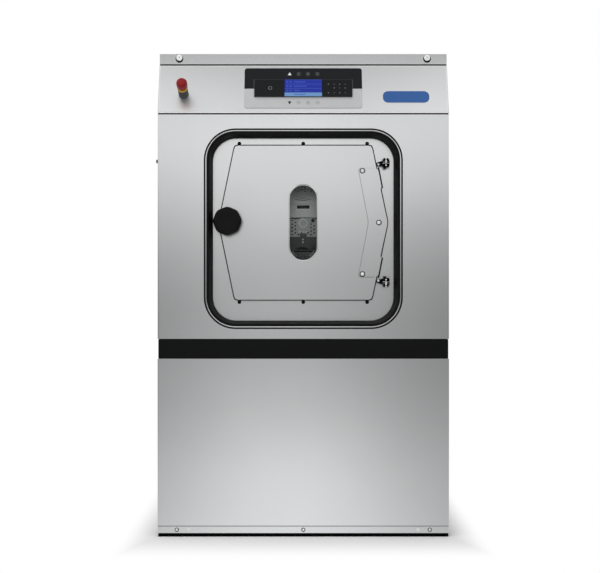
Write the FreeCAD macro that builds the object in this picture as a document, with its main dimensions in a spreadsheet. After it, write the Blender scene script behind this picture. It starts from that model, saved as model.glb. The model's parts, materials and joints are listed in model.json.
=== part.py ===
import FreeCAD, Part
import os
import re
from FreeCAD import Placement, Rotation, Vector

# Side-loading barrier washer-extractor, millimetres.
# The front faces -Y, +Z is up, and the origin is on the floor under the middle of the machine.

sizes = {
    # cabinet
    "cabinet_width": 980,
    "cabinet_depth": 860,
    "cabinet_height": 1635,
    "panel": 6,
    "seam": 1.5,
    "foot_gap": 12,
    "plinth_height": 23,
    "band_drop": 437,
    "band_height": 66,
    "band_inset": 4.4,
    "lid_height": 36.5,
    "slope_rise": 173,
    "slope_setback": 62,
    "tube": 40,
    "running": 0.3,
    # feet
    "pad_radius": 22,
    "pad_height": 8,
    "stud_radius": 8,
    "stud_depth": 36,
    # plinth and side fasteners
    "bolt_radius": 7,
    "bolt_head": 4,
    "bolt_inset": 65,
    "screw_radius": 3.5,
    "screw_inset": 104,
    "side_screw_head": 5.5,
    "side_screw_drop": 162,
    "side_screw_inset": 12,
    # lid and its locks
    "lid_setback": 72,
    "lid_sheet": 2,
    "knuckle_radius": 5,
    "lid_pin_radius": 2.5,
    "lid_hinge_spread": 600,
    "lid_hinge_length": 60,
    "leaf_height": 24,
    "leaf_sheet": 2,
    "lock_radius": 13,
    "lock_head": 4,
    "lock_barrel_radius": 9,
    "lock_barrel": 20,
    "lock_cam_length": 34,
    "lock_cam_width": 12,
    "lock_cam_sheet": 3,
    "lock_inset": 67,
    "lock_drop": 15,
    # control panel
    "fascia_width": 398,
    "fascia_length": 150,
    "fascia_place": 18,
    "fascia_sheet": 3,
    "module_width": 331,
    "module_length": 66,
    "module_place": 62,
    "module_height": 5,
    "screen_width": 126,
    "screen_height": 1,
    # emergency stop
    "estop_inset": 86,
    "estop_place": 68,
    "estop_base_radius": 16,
    "estop_base_length": 45,
    "estop_bore_depth": 14,
    "estop_collar_radius": 19,
    "estop_collar_length": 8,
    "estop_neck_radius": 10,
    "estop_neck_depth": 6,
    "estop_travel": 5,
    "estop_radius": 19.5,
    "estop_head": 30,
    # openings, trims and bellows
    "opening_width": 650,
    "opening_height": 655,
    "opening_corner": 97,
    "opening_drop": 389,
    "trim_width": 9.5,
    "trim_height": 2,
    "bellows_wall": 3,
    "bellows_flange": 20,
    "bellows_taper": 14,
    # tub
    "axis_rise": 23,
    "tub_radius": 346,
    "tub_wall": 6,
    "side_room": 188,
    "tub_end": 6,
    "end_hole_radius": 45,
    "plate_reach": 362,
    "plate_sheet": 4,
    "plate_margin": 7,
    "plate_corner": 88,
    "doorway_margin": 10.5,
    "doorway_height": 410,
    "neck_wall": 4,
    "plate_screw_radius": 6.5,
    "plate_screw_head": 3.5,
    "plate_screw_side": 218,
    "plate_screw_rise": 270.5,
    # bearings and shafts
    "shaft_radius": 35,
    "shaft_play": 0.03,
    "shaft_flange_radius": 100,
    "shaft_flange": 10,
    "bearing_radius": 60,
    "bearing_width": 40,
    "housing_radius": 85,
    "housing_flange_radius": 120,
    "housing_flange": 14,
    # drum
    "drum_radius": 312,
    "drum_sheet": 3,
    "drum_room": 22,
    "drum_end": 4,
    "hatch_margin": 5,
    "hatch_height": 384,
    "hatch_gap": 2,
    "seam_rise": 20,
    "flap_pin_radius": 4,
    "flap_pin_depth": 7,
    "flap_pin_drop": 8,
    "lug_width": 16,
    "lug_radius": 6,
    "lug_height": 30,
    "lug_spread": 300,
    "lifter_base": 84,
    "lifter_top": 30,
    "lifter_height": 70,
    "latch_radius": 16,
    "latch_head": 4,
    "latch_spindle_radius": 6,
    "latch_cam_length": 40,
    "latch_cam_width": 14,
    "latch_cam_sheet": 4,
    "latch_depth": 13,
    # suspension
    "cradle_sheet": 8,
    "cradle_width": 520,
    "cradle_drop": 198,
    "cradle_bottom": 354,
    "cradle_flange": 112,
    "spring_radius": 45,
    "spring_wire": 8,
    "spring_inset": 112,
    "spring_spread": 400,
    "damper_radius": 28,
    "damper_height": 180,
    "damper_floor": 40,
    "damper_room": 20,
    "damper_rod_radius": 10,
    "beam_width": 90,
    # drive
    "motor_radius": 90,
    "motor_length": 300,
    "motor_back": 190,
    "motor_rise": 100,
    "motor_foot": 160,
    "motor_shaft_radius": 14,
    "motor_socket": 70,
    "drum_pulley_radius": 190,
    "motor_pulley_radius": 45,
    "pulley_width": 34,
    "pulley_gap": 97,
    "belt_width": 30,
    "belt_thickness": 6,
    # water
    "sump_radius": 36,
    "sump_wall": 3,
    "sump_place": -120,
    "sump_drop": 438,
    "valve_width": 110,
    "valve_level": 182,
    "valve_height": 120,
    "valve_spout": 100,
    "hose_wall": 6,
    "hose_lap": 30,
    "drain_radius": 38,
    "drain_level": 230,
    "inlet_radius": 13.2,
    "inlet_drop": 98,
    "inlet_side": 300,
    "inlet_pitch": 92,
    "inlet_reach": 40,
    "inlet_body": 60,
    "pipe_step": 2,
    # control box
    "control_box_depth": 84,
    "control_box_width": 240,
    "control_box_height": 380,
    "control_box_drop": 158,
    # doors
    "door_height": 530,
    "door_slant": 50.5,
    "door_margin": 39,
    "door_depth": 15,
    "door_sheet": 2,
    "door_gap": 4,
    "door_recess_margin": 10,
    "seal_width": 12,
    "seal_margin": 3,
    "window_width": 93,
    "window_height": 255,
    "glass_lap": 9,
    "glass": 6,
    "hinge_inset": 44,
    "hinge_rise": 196,
    "hinge_knuckle": 26,
    "hinge_radius": 9,
    "hinge_pin_radius": 5,
    "pin_play": 0.05,
    "hinge_ear": 8,
    "hinge_ear_width": 18,
    "hinge_base_width": 30,
    "hinge_arm": 7,
    "hinge_arm_lap": 12,
    "overlay_height": 374,
    "overlay_edge_reach": 93,
    "overlay_middle_reach": 58,
    "overlay_margin": 3,
    "overlay_sheet": 2,
    "dome_radius": 9,
    "dome_head": 5,
    "dome_edge_reach": 80,
    "dome_middle_reach": 24,
    "dome_rise": 174,
    # knobs and keepers
    "knob_inset": 69,
    "knob_rise": 3,
    "knob_radius": 38,
    "knob_depth": 37,
    "knob_lobe_radius": 9,
    "knob_standoff": 19,
    "knob_neck_radius": 20,
    "knob_spindle_radius": 8,
    "tongue_width": 18,
    "tongue_length": 34.5,
    "tongue_sheet": 6,
    "keeper_gap": 1,
    "keeper_width": 24,
    "keeper_post": 10,
    "keeper_clear": 1.5,
    "keeper_lip": 6,
    "keeper_overlap": 3,
}
# levels and widths that follow from the sizes
places = {
    "slope_bottom": "cabinet_height - lid_height - seam - slope_rise",
    "opening_level": "slope_bottom - opening_drop",
    "axis_level": "opening_level + axis_rise",
    "band_bottom": "opening_level - band_drop",
    "side_screw_level": "slope_bottom - side_screw_drop",
    "tub_length": "cabinet_width - 2 * side_room",
    "drum_length": "tub_length - 2 * drum_room",
    "cradle_top": "axis_level - cradle_drop",
    "sump_end": "axis_level - sump_drop",
    "control_box_level": "axis_level - control_box_drop",
    "inlet_level": "band_bottom - inlet_drop",
    "spring_side": "cabinet_width / 2 - panel - spring_inset",
    "pulley_place": "tub_length / 2 + tub_end + pulley_gap",
    "bolt_spread": "cabinet_width - 2 * bolt_inset",
    "screw_spread": "cabinet_width - 2 * screw_inset",
    "lock_spread": "cabinet_width - 2 * lock_inset",
    "estop_side": "cabinet_width / 2 - estop_inset",
    "plate_width": "opening_width - 2 * plate_margin",
    "plate_height": "opening_height - 2 * plate_margin",
    "door_width": "opening_width - 2 * door_margin",
    "door_flat": "door_width - 2 * door_slant",
    "doorway_width": "door_flat - 2 * doorway_margin",
    "hatch_width": "doorway_width - 2 * hatch_margin",
    "hinge_side": "opening_width / 2 - hinge_inset",
    "overlay_edge": "hinge_side - overlay_edge_reach",
    "overlay_middle": "hinge_side - overlay_middle_reach",
    "dome_edge": "hinge_side - dome_edge_reach",
    "dome_middle": "hinge_side - dome_middle_reach",
    "knob_side": "opening_width / 2 - knob_inset",
}
knob_lobes = 8
lifter_turns = (-5, -90, -175)

doc = FreeCAD.newDocument("washer")
dims = doc.addObject("Spreadsheet::Sheet", "dims")
for row, (alias, amount) in enumerate({**sizes, **places}.items(), 1):
    dims.set(f"A{row}", alias)
    dims.set(f"B{row}", f"={amount}")
    dims.setAlias(f"B{row}", alias)
doc.recompute()

nodes = []


# helpers that bind sizes and places to the sheet
def in_sheet(text):
    known = {**sizes, **places}
    return re.sub(r"[a-z_]+", lambda word: f"dims.{word[0]}" if word[0] in known else word[0], str(text))


def bind(obj, **texts):
    for name, text in texts.items():
        obj.setExpression(name, in_sheet(text))
    return obj


def place(obj, x, y, z):
    for letter, text in zip("xyz", (x, y, z)):
        obj.setExpression(f"Placement.Base.{letter}", in_sheet(text))
    return obj


def span(limits):
    return f"({limits[1]}) - ({limits[0]})"


def minus(text):
    return f"(-({text}))"


def middle(width):
    return f"-({width}) / 2", f"({width}) / 2"


def box(x, y, z):
    obj = doc.addObject("Part::Box", "box")
    bind(obj, Length=span(x), Width=span(y), Height=span(z))
    return place(obj, x[0], y[0], z[0])


axis_turns = {
    "x": Rotation(Vector(0, 1, 0), 90),
    "y": Rotation(Vector(1, 0, 0), -90),
    "z": Rotation(),
}


# a cylinder along one axis, with its other two coordinates in x, y, z order
def cylinder(axis, radius, along, at):
    obj = doc.addObject("Part::Cylinder", "cylinder")
    obj.Placement = Placement(Vector(), axis_turns[axis])
    bind(obj, Radius=radius, Height=span(along))
    spot = list(at)
    spot.insert("xyz".index(axis), along[0])
    return place(obj, *spot)


plate_turns = {
    "xz": Rotation(Vector(1, 0, 0), 90),
    "yz": Rotation(Vector(1, 1, 1), 120),
}


# an upright plate whose width changes from the limits at its foot to those at its head
def trapezoid(plane, foot, head, rise, through):
    obj = doc.addObject("Part::Wedge", "trapezoid")
    obj.Placement = Placement(Vector(), plate_turns[plane])
    near, far = through if plane == "yz" else (minus(through[1]), minus(through[0]))
    bind(obj, Xmin=foot[0], Xmax=foot[1], X2min=head[0], X2max=head[1], Ymin=rise[0], Ymax=rise[1])
    return bind(obj, Zmin=near, Zmax=far, Z2min=near, Z2max=far)


def fuse(*pieces):
    obj = doc.addObject("Part::MultiFuse", "fused")
    obj.Shapes = list(pieces)
    obj.Refine = True
    return obj


def cut(base, *tools):
    for tool in tools:
        obj = doc.addObject("Part::Cut", "cut")
        obj.Base = base
        obj.Tool = tool
        base = obj
    return base


def common(first, second):
    obj = doc.addObject("Part::MultiCommon", "common")
    obj.Shapes = [first, second]
    return obj


def group(*pieces):
    obj = doc.addObject("Part::Compound", "group")
    obj.Links = list(pieces)
    return obj


# the same piece on the rear of the machine, half a turn about the upright axis
def rear(piece):
    obj = group(piece)
    obj.Placement = Placement(Vector(), Rotation(Vector(0, 0, 1), 180))
    return obj


def node(label, obj):
    obj.Label = label
    nodes.append(obj)
    return obj


# an upright slab with four round corners, seen from the front
def rounded_slab(width, height, corner, level, y):
    low, high = f"{level} - ({height}) / 2", f"{level} + ({height}) / 2"
    inset = f"(({width}) / 2 - ({corner}))"
    pieces = [
        box(middle(width), y, (f"{low} + ({corner})", f"{high} - ({corner})")),
        box((minus(inset), inset), y, (low, high)),
    ]
    for x in (minus(inset), inset):
        pieces.append(cylinder("y", corner, y, (x, f"{low} + ({corner})")))
        pieces.append(cylinder("y", corner, y, (x, f"{high} - ({corner})")))
    return fuse(*pieces)


# an upright slab with half-round ends, seen from the front
def stadium(width, height, level, y):
    ends = f"(({height}) / 2 - ({width}) / 2)"
    return fuse(
        box(middle(width), y, (f"{level} - {ends}", f"{level} + {ends}")),
        cylinder("y", f"({width}) / 2", y, ("0", f"{level} - {ends}")),
        cylinder("y", f"({width}) / 2", y, ("0", f"{level} + {ends}")),
    )


def ring(axis, outer, inner, along, at):
    return cut(cylinder(axis, outer, along, at), cylinder(axis, inner, along, at))


# levels and planes that several pieces share
half_width = "(cabinet_width / 2)"
side_inner = "(cabinet_width / 2 - panel)"
front = "(-cabinet_depth / 2)"
panel_back = "(-cabinet_depth / 2 + panel)"
plinth_top = "(foot_gap + plinth_height)"
frame_top = "(foot_gap + tube)"
band_top = "(band_bottom + band_height)"
slope_top = "(slope_bottom + slope_rise)"
slope_base = "(slope_bottom + seam)"
slope_length = "sqrt(slope_setback ^ 2 + slope_rise ^ 2)"
slope_sin = f"(slope_setback / {slope_length})"
slope_cos = f"(slope_rise / {slope_length})"
lid_bottom = f"({slope_top} + seam)"
lid_front = "(-cabinet_depth / 2 + lid_setback)"
estop_top = "(estop_base_length + estop_collar_length + estop_neck_depth + estop_head)"
front_reach = f"({minus(front)} + {slope_sin} * (estop_radius - estop_place) + {estop_top} * {slope_cos})"
hole_width = "(opening_width + 2 * running)"
hole_height = "(opening_height + 2 * running)"
hole_corner = "(opening_corner + running)"
both_sides = ((minus(half_width), minus(side_inner)), (side_inner, half_width))


# cabinet
def cabinet_frame():
    post_inner = f"({side_inner} - tube)"
    frame_inner = f"({minus(panel_back)} - tube)"
    across = (minus(post_inner), post_inner)
    along = (minus(frame_inner), frame_inner)
    sides = ((minus(side_inner), minus(post_inner)), (post_inner, side_inner))
    ends = ((panel_back, minus(frame_inner)), (frame_inner, minus(panel_back)))
    base = ("foot_gap", frame_top)
    pieces = []
    for x, foot_x in zip(sides, (minus(f"{side_inner} - tube / 2"), f"{side_inner} - tube / 2")):
        for y, foot_y, top in zip(ends, foot_lines, ("slope_bottom", slope_top)):
            bored = ("foot_gap", "foot_gap + stud_depth")
            socket = cylinder("z", "stud_radius + running", bored, (foot_x, foot_y))
            pieces.append(cut(box(x, y, ("foot_gap", top)), socket))
        pieces.append(box(x, along, base))
        pieces.append(box(x, along, ("slope_bottom - tube", "slope_bottom")))
    for y, top in zip(ends, ("slope_bottom", slope_top)):
        pieces.append(box(across, y, base))
        pieces.append(box(across, y, (f"{top} - tube", top)))
    for side in ("-spring_side", "spring_side"):
        pieces.append(box((f"{side} - beam_width / 2", f"{side} + beam_width / 2"), along, base))
    beam_end = "(spring_side - beam_width / 2)"
    pieces.append(box((minus(beam_end), beam_end), ("sump_place - tube / 2", "sump_place + tube / 2"), base))
    return node("cabinet_frame", group(*pieces))


foot_lines = (f"{panel_back} + tube / 2", minus(f"{panel_back} + tube / 2"))


def levelling_feet():
    pieces = []
    for x in (minus(f"{side_inner} - tube / 2"), f"{side_inner} - tube / 2"):
        for y in foot_lines:
            pad = cylinder("z", "pad_radius", ("0", "pad_height"), (x, y))
            stud = cylinder("z", "stud_radius", ("0", "foot_gap + stud_depth"), (x, y))
            pieces.append(fuse(pad, stud))
    return node("levelling_feet", group(*pieces))


def opening_hole(y):
    return rounded_slab(hole_width, hole_height, hole_corner, "opening_level", y)


def front_panels():
    skin = (front, panel_back)
    wide = (minus(half_width), half_width)
    upper = box(wide, skin, (band_top, "slope_bottom"))
    node("front_upper_panel", cut(upper, opening_hole(skin)))
    node("front_lower_panel", box(wide, skin, (f"{plinth_top} + seam", "band_bottom")))


# the rear upper panel also carries the fixed leaves, knuckles and pins of the lid
def rear_panels():
    skin = (minus(panel_back), minus(front))
    wide = (minus(half_width), half_width)
    upper = cut(box(wide, skin, (band_top, slope_top)), opening_hole(skin))
    fixed = [upper]
    for centre in lid_hinge_centres:
        leaf_y = (minus(front), f"{minus(front)} + leaf_sheet")
        low, high = lid_hinge_ends(centre)
        leaf = box((low[0], high[1]), leaf_y, (f"{slope_top} - leaf_height", slope_top))
        notch = box((low[1], high[0]), leaf_y, (f"{lid_bottom} - knuckle_radius - seam", slope_top))
        fixed.append(cut(leaf, notch))
        fixed.append(cylinder("x", "lid_pin_radius", (low[0], high[1]), lid_axis))
        for ends in (low, high):
            fixed.append(cylinder("x", "knuckle_radius", ends, lid_axis))
    node("rear_upper_panel", fuse(*fixed))
    lower = box(wide, skin, (f"{plinth_top} + seam", "band_bottom"))
    holes = [cylinder("y", "drain_radius + pipe_step + running", skin, ("0", "drain_level"))]
    for x in inlet_sides:
        holes.append(cylinder("y", "inlet_radius + pipe_step + running", skin, (x, "inlet_level")))
    node("rear_lower_panel", cut(lower, *holes))


def side_panels():
    deep = (panel_back, minus(panel_back))
    head = (f"{panel_back} + slope_setback", minus(panel_back))
    uppers = []
    lowers = []
    for x in both_sides:
        straight = box(x, deep, (band_top, "slope_bottom"))
        sloped = trapezoid("yz", deep, head, ("slope_bottom", slope_top), x)
        uppers.append(fuse(straight, sloped))
        lowers.append(box(x, deep, ("foot_gap", "band_bottom")))
    node("upper_side_panels", group(*uppers))
    node("lower_side_panels", group(*lowers))


def belt_band():
    outer = f"({half_width} - band_inset)"
    face = f"({front} + band_inset)"
    rise = ("band_bottom", band_top)
    deep = (panel_back, minus(panel_back))
    pieces = [
        box((minus(outer), outer), (face, panel_back), rise),
        box((minus(outer), outer), (minus(panel_back), minus(face)), rise),
        box((side_inner, outer), deep, rise),
        box((minus(outer), minus(side_inner)), deep, rise),
    ]
    return node("belt_band", group(*pieces))


def plinth_strips():
    wide = (minus(half_width), half_width)
    rise = ("foot_gap", plinth_top)
    strips = [box(wide, (front, panel_back), rise), box(wide, (minus(panel_back), minus(front)), rise)]
    return node("plinth_strips", group(*strips))


def panel_screws():
    level = "foot_gap + plinth_height / 2"
    heads = []
    for x in ("-bolt_spread / 2", "0", "bolt_spread / 2"):
        heads.append(cylinder("y", "bolt_radius", (f"{front} - bolt_head", front), (x, level)))
    for x in ("-screw_spread / 2", "screw_spread / 2"):
        heads.append(cylinder("y", "screw_radius", (f"{front} - bolt_head / 2", front), (x, level)))
    proud = f"{half_width} + side_screw_head"
    near = f"{front} + side_screw_inset"
    heads.append(cylinder("x", "bolt_radius", (minus(proud), minus(half_width)), (near, "side_screw_level")))
    heads.append(cylinder("x", "bolt_radius", (half_width, proud), (minus(near), "side_screw_level")))
    return node("panel_screws", group(*heads))


# lid with its rear hinges and front locks
lid_axis = (f"{minus(front)} + knuckle_radius", lid_bottom)
lid_hinge_centres = ("-lid_hinge_spread / 2", "lid_hinge_spread / 2")


def lid_hinge_ends(centre):
    third = "lid_hinge_length / 6"
    low = (f"{centre} - lid_hinge_length / 2", f"{centre} - {third} - running")
    high = (f"{centre} + {third} + running", f"{centre} + lid_hinge_length / 2")
    return low, high


lock_level = "(cabinet_height - lock_drop)"
lock_sides = {"lock_left": "(-lock_spread / 2)", "lock_right": "(lock_spread / 2)"}


def top_cover():
    wide = (minus(half_width), half_width)
    inner = f"({half_width} - lid_sheet)"
    shell = cut(
        box(wide, (lid_front, minus(front)), (lid_bottom, "cabinet_height")),
        box(
            (minus(inner), inner),
            (f"{lid_front} + lid_sheet", f"{minus(front)} - lid_sheet"),
            (lid_bottom, "cabinet_height - lid_sheet"),
        ),
    )
    for x in lock_sides.values():
        skin = (lid_front, f"{lid_front} + lid_sheet")
        shell = cut(shell, cylinder("y", "lock_barrel_radius + pin_play", skin, (x, lock_level)))
    moving = [shell]
    for centre in lid_hinge_centres:
        knuckle = (f"{centre} - lid_hinge_length / 6", f"{centre} + lid_hinge_length / 6")
        leaf_y = (minus(front), f"{minus(front)} + leaf_sheet")
        leaf = box(knuckle, leaf_y, (lid_bottom, f"{lid_bottom} + leaf_height"))
        barrel = fuse(leaf, cylinder("x", "knuckle_radius", knuckle, lid_axis))
        moving.append(cut(barrel, cylinder("x", "lid_pin_radius + pin_play", knuckle, lid_axis)))
    return node("top_cover", fuse(*moving))


# the cam points inward along the lid at rest and down behind the control panel when locked
def lid_locks():
    for label, x in lock_sides.items():
        inward = "lock_cam_length" if label == "lock_left" else "-lock_cam_length"
        cam_x = (x, f"{x} + {inward}") if label == "lock_left" else (f"{x} + {inward}", x)
        cam_y = (f"{lid_front} + lock_barrel - lock_cam_sheet", f"{lid_front} + lock_barrel")
        half_cam = "lock_cam_width / 2"
        lock = fuse(
            cylinder("y", "lock_radius", (f"{lid_front} - lock_head", lid_front), (x, lock_level)),
            cylinder("y", "lock_barrel_radius", (lid_front, cam_y[1]), (x, lock_level)),
            box(cam_x, cam_y, (f"{lock_level} - {half_cam}", f"{lock_level} + {half_cam}")),
        )
        node(label, lock)


# sloped control panel: u runs up the slope, w stands out from its face
def slope_spot(u, w):
    y = f"{front} + ({u}) * {slope_sin} - ({w}) * {slope_cos}"
    z = f"{slope_base} + ({u}) * {slope_cos} + ({w}) * {slope_sin}"
    return y, z


def slope_box(x, u, w):
    obj = doc.addObject("Part::Box", "slope_box")
    obj.Placement = Placement(Vector(), Rotation(Vector(-1, 0, 0), 20))
    obj.setExpression("Placement.Rotation.Angle", in_sheet("atan(slope_setback / slope_rise)"))
    bind(obj, Length=span(x), Width=span(w), Height=span(u))
    return place(obj, x[0], *slope_spot(u[0], w[1]))


def slope_cylinder(radius, x, u, w):
    obj = doc.addObject("Part::Cylinder", "slope_cylinder")
    obj.Placement = Placement(Vector(), Rotation(Vector(1, 0, 0), 70))
    obj.setExpression("Placement.Rotation.Angle", in_sheet("atan(slope_rise / slope_setback)"))
    bind(obj, Radius=radius, Height=span(w))
    return place(obj, x, *slope_spot(u, w[0]))


def control_panel():
    wide = (minus(half_width), half_width)
    foot = "panel * slope_setback / slope_rise"
    node("control_panel", slope_box(wide, (foot, f"{slope_length} - 2 * seam"), ("-panel", "0")))
    fascia_u = ("fascia_place", "fascia_place + fascia_length")
    node("control_fascia", slope_box(middle("fascia_width"), fascia_u, ("0", "fascia_sheet")))
    module_u = ("module_place", "module_place + module_length")
    module_top = "fascia_sheet + module_height"
    node("display_module", slope_box(middle("module_width"), module_u, ("fascia_sheet", module_top)))
    screen_w = (module_top, f"{module_top} + screen_height")
    node("display_screen", slope_box(middle("screen_width"), module_u, screen_w))


def emergency_stop():
    x, u = "-estop_side", "estop_place"
    base_top = "estop_base_length"
    collar_top = "estop_base_length + estop_collar_length"
    head_foot = f"{collar_top} + estop_neck_depth"
    bore = slope_cylinder("estop_neck_radius + running", x, u, (f"{base_top} - estop_bore_depth", collar_top))
    node("estop_base", cut(slope_cylinder("estop_base_radius", x, u, ("0", base_top)), bore))
    node("estop_collar", cut(slope_cylinder("estop_collar_radius", x, u, (base_top, collar_top)), bore))
    neck_foot = f"{base_top} - estop_bore_depth + estop_travel + seam"
    head = slope_cylinder("estop_radius", x, u, (head_foot, estop_top))
    node("estop_button", fuse(head, slope_cylinder("estop_neck_radius", x, u, (neck_foot, head_foot))))


# bright rings on the panels, and the rubber frames that narrow towards the tub
def door_trims():
    proud = (f"{front} - trim_height", front)
    outer = rounded_slab(
        f"{hole_width} + 2 * trim_width", f"{hole_height} + 2 * trim_width", f"{hole_corner} + trim_width",
        "opening_level", proud,
    )
    trim = cut(outer, opening_hole(proud))
    return node("door_trims", group(trim, rear(trim)))


def rounded_wire(width, height, corner, level, y):
    right, top = width / 2, height / 2
    edges = []
    for turn in range(4):
        across, up = (right, top) if turn % 2 == 0 else (top, right)
        quarter = Rotation(Vector(0, 1, 0), -90 * turn)
        bend = corner * 0.5 ** 0.5
        points = [
            Vector(across, 0, corner - up),
            Vector(across, 0, up - corner),
            Vector(across - corner + bend, 0, up - corner + bend),
            Vector(across - corner, 0, up),
        ]
        points = [quarter.multVec(point) + Vector(0, y, level) for point in points]
        edges.append(Part.LineSegment(points[0], points[1]).toShape())
        edges.append(Part.Arc(points[1], points[2], points[3]).toShape())
    return Part.Wire(edges)


def bellows_loft(sizes_of, shrink):
    wires = []
    for taper, y in ((0, sizes_of.mouth), (sizes_of.taper, sizes_of.root)):
        less = shrink + taper
        wires.append(
            rounded_wire(
                sizes_of.width - 2 * less, sizes_of.height - 2 * less, sizes_of.corner - less,
                sizes_of.level, y,
            )
        )
    return Part.makeLoft(wires, True, True)


def door_bellows():
    tunnel = doc.addObject("Part::Feature", "tunnel")
    texts = {
        "mouth": front,
        "root": "-plate_reach",
        "width": "opening_width",
        "height": "opening_height",
        "corner": "opening_corner",
        "level": "opening_level",
        "taper": "bellows_taper",
        "wall": "bellows_wall",
    }
    for name, text in texts.items():
        tunnel.addProperty("App::PropertyFloat", name)
        tunnel.setExpression(name, in_sheet(text))
    doc.recompute()
    tunnel.Shape = bellows_loft(tunnel, 0).cut(bellows_loft(tunnel, tunnel.wall))
    back = (panel_back, f"{panel_back} + bellows_wall")
    lip = rounded_slab(
        "opening_width + 2 * bellows_flange", "opening_height + 2 * bellows_flange",
        "opening_corner + bellows_flange", "opening_level", back,
    )
    inner = rounded_slab(
        "opening_width - 2 * bellows_wall", "opening_height - 2 * bellows_wall",
        "opening_corner - bellows_wall", "opening_level", back,
    )
    frame = fuse(tunnel, cut(lip, inner))
    return node("door_bellows", group(frame, rear(frame)))


# electrics and water
def control_box():
    x = (minus(side_inner), f"{minus(side_inner)} + control_box_depth")
    z = ("control_box_level", "control_box_level + control_box_height")
    return node("control_box", box(x, middle("control_box_width"), z))


inlet_sides = [f"(-inlet_side + {place_in_row} * inlet_pitch)" for place_in_row in range(2)]


def inlet_valves():
    pieces = []
    half_body = "inlet_body / 2"
    inner = minus(panel_back)
    for x in inlet_sides:
        body = box(
            (f"{x} - {half_body}", f"{x} + {half_body}"), (f"{inner} - inlet_body", inner),
            (f"inlet_level - {half_body}", f"inlet_level + {half_body}"),
        )
        shoulder = cylinder("y", "inlet_radius + pipe_step", (inner, minus(front)), (x, "inlet_level"))
        outside = (minus(front), f"{minus(front)} + inlet_reach")
        stub = cylinder("y", "inlet_radius", outside, (x, "inlet_level"))
        pieces.append(fuse(body, shoulder, stub))
    return node("inlet_valves", group(*pieces))


# the valve stands on the frame's cross beam and its pipe leaves through the rear panel
valve_top = "(valve_level + valve_height)"
sump_spot = ("0", "sump_place")


def drain_valve():
    deep = ("sump_place - valve_width / 2", "sump_place + valve_width / 2")
    leg = ("sump_place - tube / 2", "sump_place + tube / 2")
    pieces = [
        box(middle("valve_width"), deep, ("valve_level", valve_top)),
        box(middle("tube"), leg, (frame_top, "valve_level")),
        cylinder("z", "sump_radius", (valve_top, f"{valve_top} + valve_spout"), sump_spot),
        cylinder("y", "drain_radius + pipe_step", (deep[1], minus(front)), ("0", "drain_level")),
        cylinder("y", "drain_radius", (minus(front), front_reach), ("0", "drain_level")),
    ]
    return node("drain_valve", fuse(*pieces))


def drain_hose():
    rise = (f"{valve_top} + valve_spout - hose_lap", "sump_end + hose_lap")
    hose = ring("z", "sump_radius + running + hose_wall", "sump_radius + running", rise, sump_spot)
    return node("drain_hose", hose)


def damper_cylinders():
    pieces = []
    top = f"{frame_top} + damper_height"
    for x in ("-spring_side", "spring_side"):
        tube = cylinder("z", "damper_radius", (frame_top, top), (x, "0"))
        bore = cylinder("z", "damper_rod_radius + pin_play", (f"{frame_top} + damper_floor", top), (x, "0"))
        pieces.append(cut(tube, bore))
    return node("damper_cylinders", group(*pieces))


# tub, with a neck and a flat plate at each doorway
tub_half = "(tub_length / 2)"
tub_face = "(tub_length / 2 + tub_end)"
tub_outer = "(tub_radius + tub_wall)"
plate_front = "(-plate_reach)"
plate_back = "(-plate_reach + plate_sheet)"
axis_spot = ("0", "axis_level")
doorway_z = ("axis_level - doorway_height / 2", "axis_level + doorway_height / 2")


def doorway_box(y):
    return box(middle("doorway_width"), y, doorway_z)


def tub_shell():
    long = (minus(tub_half), tub_half)
    through = (plate_back, minus(plate_back))
    inside = cylinder("x", "tub_radius", long, axis_spot)
    barrel = cylinder("x", tub_outer, long, axis_spot)
    neck = box(
        middle("doorway_width + 2 * neck_wall"), through,
        (f"{doorway_z[0]} - neck_wall", f"{doorway_z[1]} + neck_wall"),
    )
    spout_rise = ("sump_end", "axis_level")
    spout = cylinder("z", "sump_radius", spout_rise, sump_spot)
    bore = cylinder("z", "sump_radius - sump_wall", spout_rise, sump_spot)
    return node("tub_shell", cut(fuse(barrel, neck, spout), inside, doorway_box(through), bore))


def tub_ends():
    end = ring("x", tub_outer, "end_hole_radius", (tub_half, tub_face), axis_spot)
    return node("tub_ends", group(end, rear(end)))


door_back = "(-plate_reach - door_gap)"
door_front = "(-plate_reach - door_gap - door_depth)"
knob_level = "(axis_level + knob_rise)"
tongue_back = f"({door_front} - keeper_gap)"
tongue_front = f"({door_front} - keeper_gap - tongue_sheet)"
tongue_tip = "(-knob_side - tongue_length)"


# each plate has its welded keeper, which the knob's tongue turns behind
def tub_plates():
    skin = (plate_front, plate_back)
    slab = rounded_slab("plate_width", "plate_height", "plate_corner", "opening_level", skin)
    lip_back = f"{tongue_front} - keeper_gap"
    lip_front = f"{lip_back} - keeper_lip"
    post_outer = f"{tongue_tip} - keeper_clear - keeper_post"
    tall = (f"{knob_level} - keeper_width / 2", f"{knob_level} + keeper_width / 2")
    post = box((post_outer, f"{tongue_tip} - keeper_clear"), (lip_front, plate_front), tall)
    lip = box((post_outer, f"{tongue_tip} + keeper_overlap"), (lip_front, lip_back), tall)
    plate = fuse(cut(slab, doorway_box(skin)), post, lip)
    return node("tub_plates", group(plate, rear(plate)))


def plate_screws():
    heads = []
    for x in ("-plate_screw_side", "0", "plate_screw_side"):
        for z in ("axis_level - plate_screw_rise", "axis_level + plate_screw_rise"):
            proud = (f"{plate_front} - plate_screw_head", plate_front)
            heads.append(cylinder("y", "plate_screw_radius", proud, (x, z)))
    front_heads = group(*heads)
    return node("plate_screws", group(front_heads, rear(front_heads)))


# knuckles of the door turn on pins held between two ears
def knuckle_limits(side):
    centre = f"axis_level + {side} * hinge_rise"
    return f"{centre} - hinge_knuckle / 2", f"{centre} + hinge_knuckle / 2"


hinge_spot = ("hinge_side", door_front)


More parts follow.
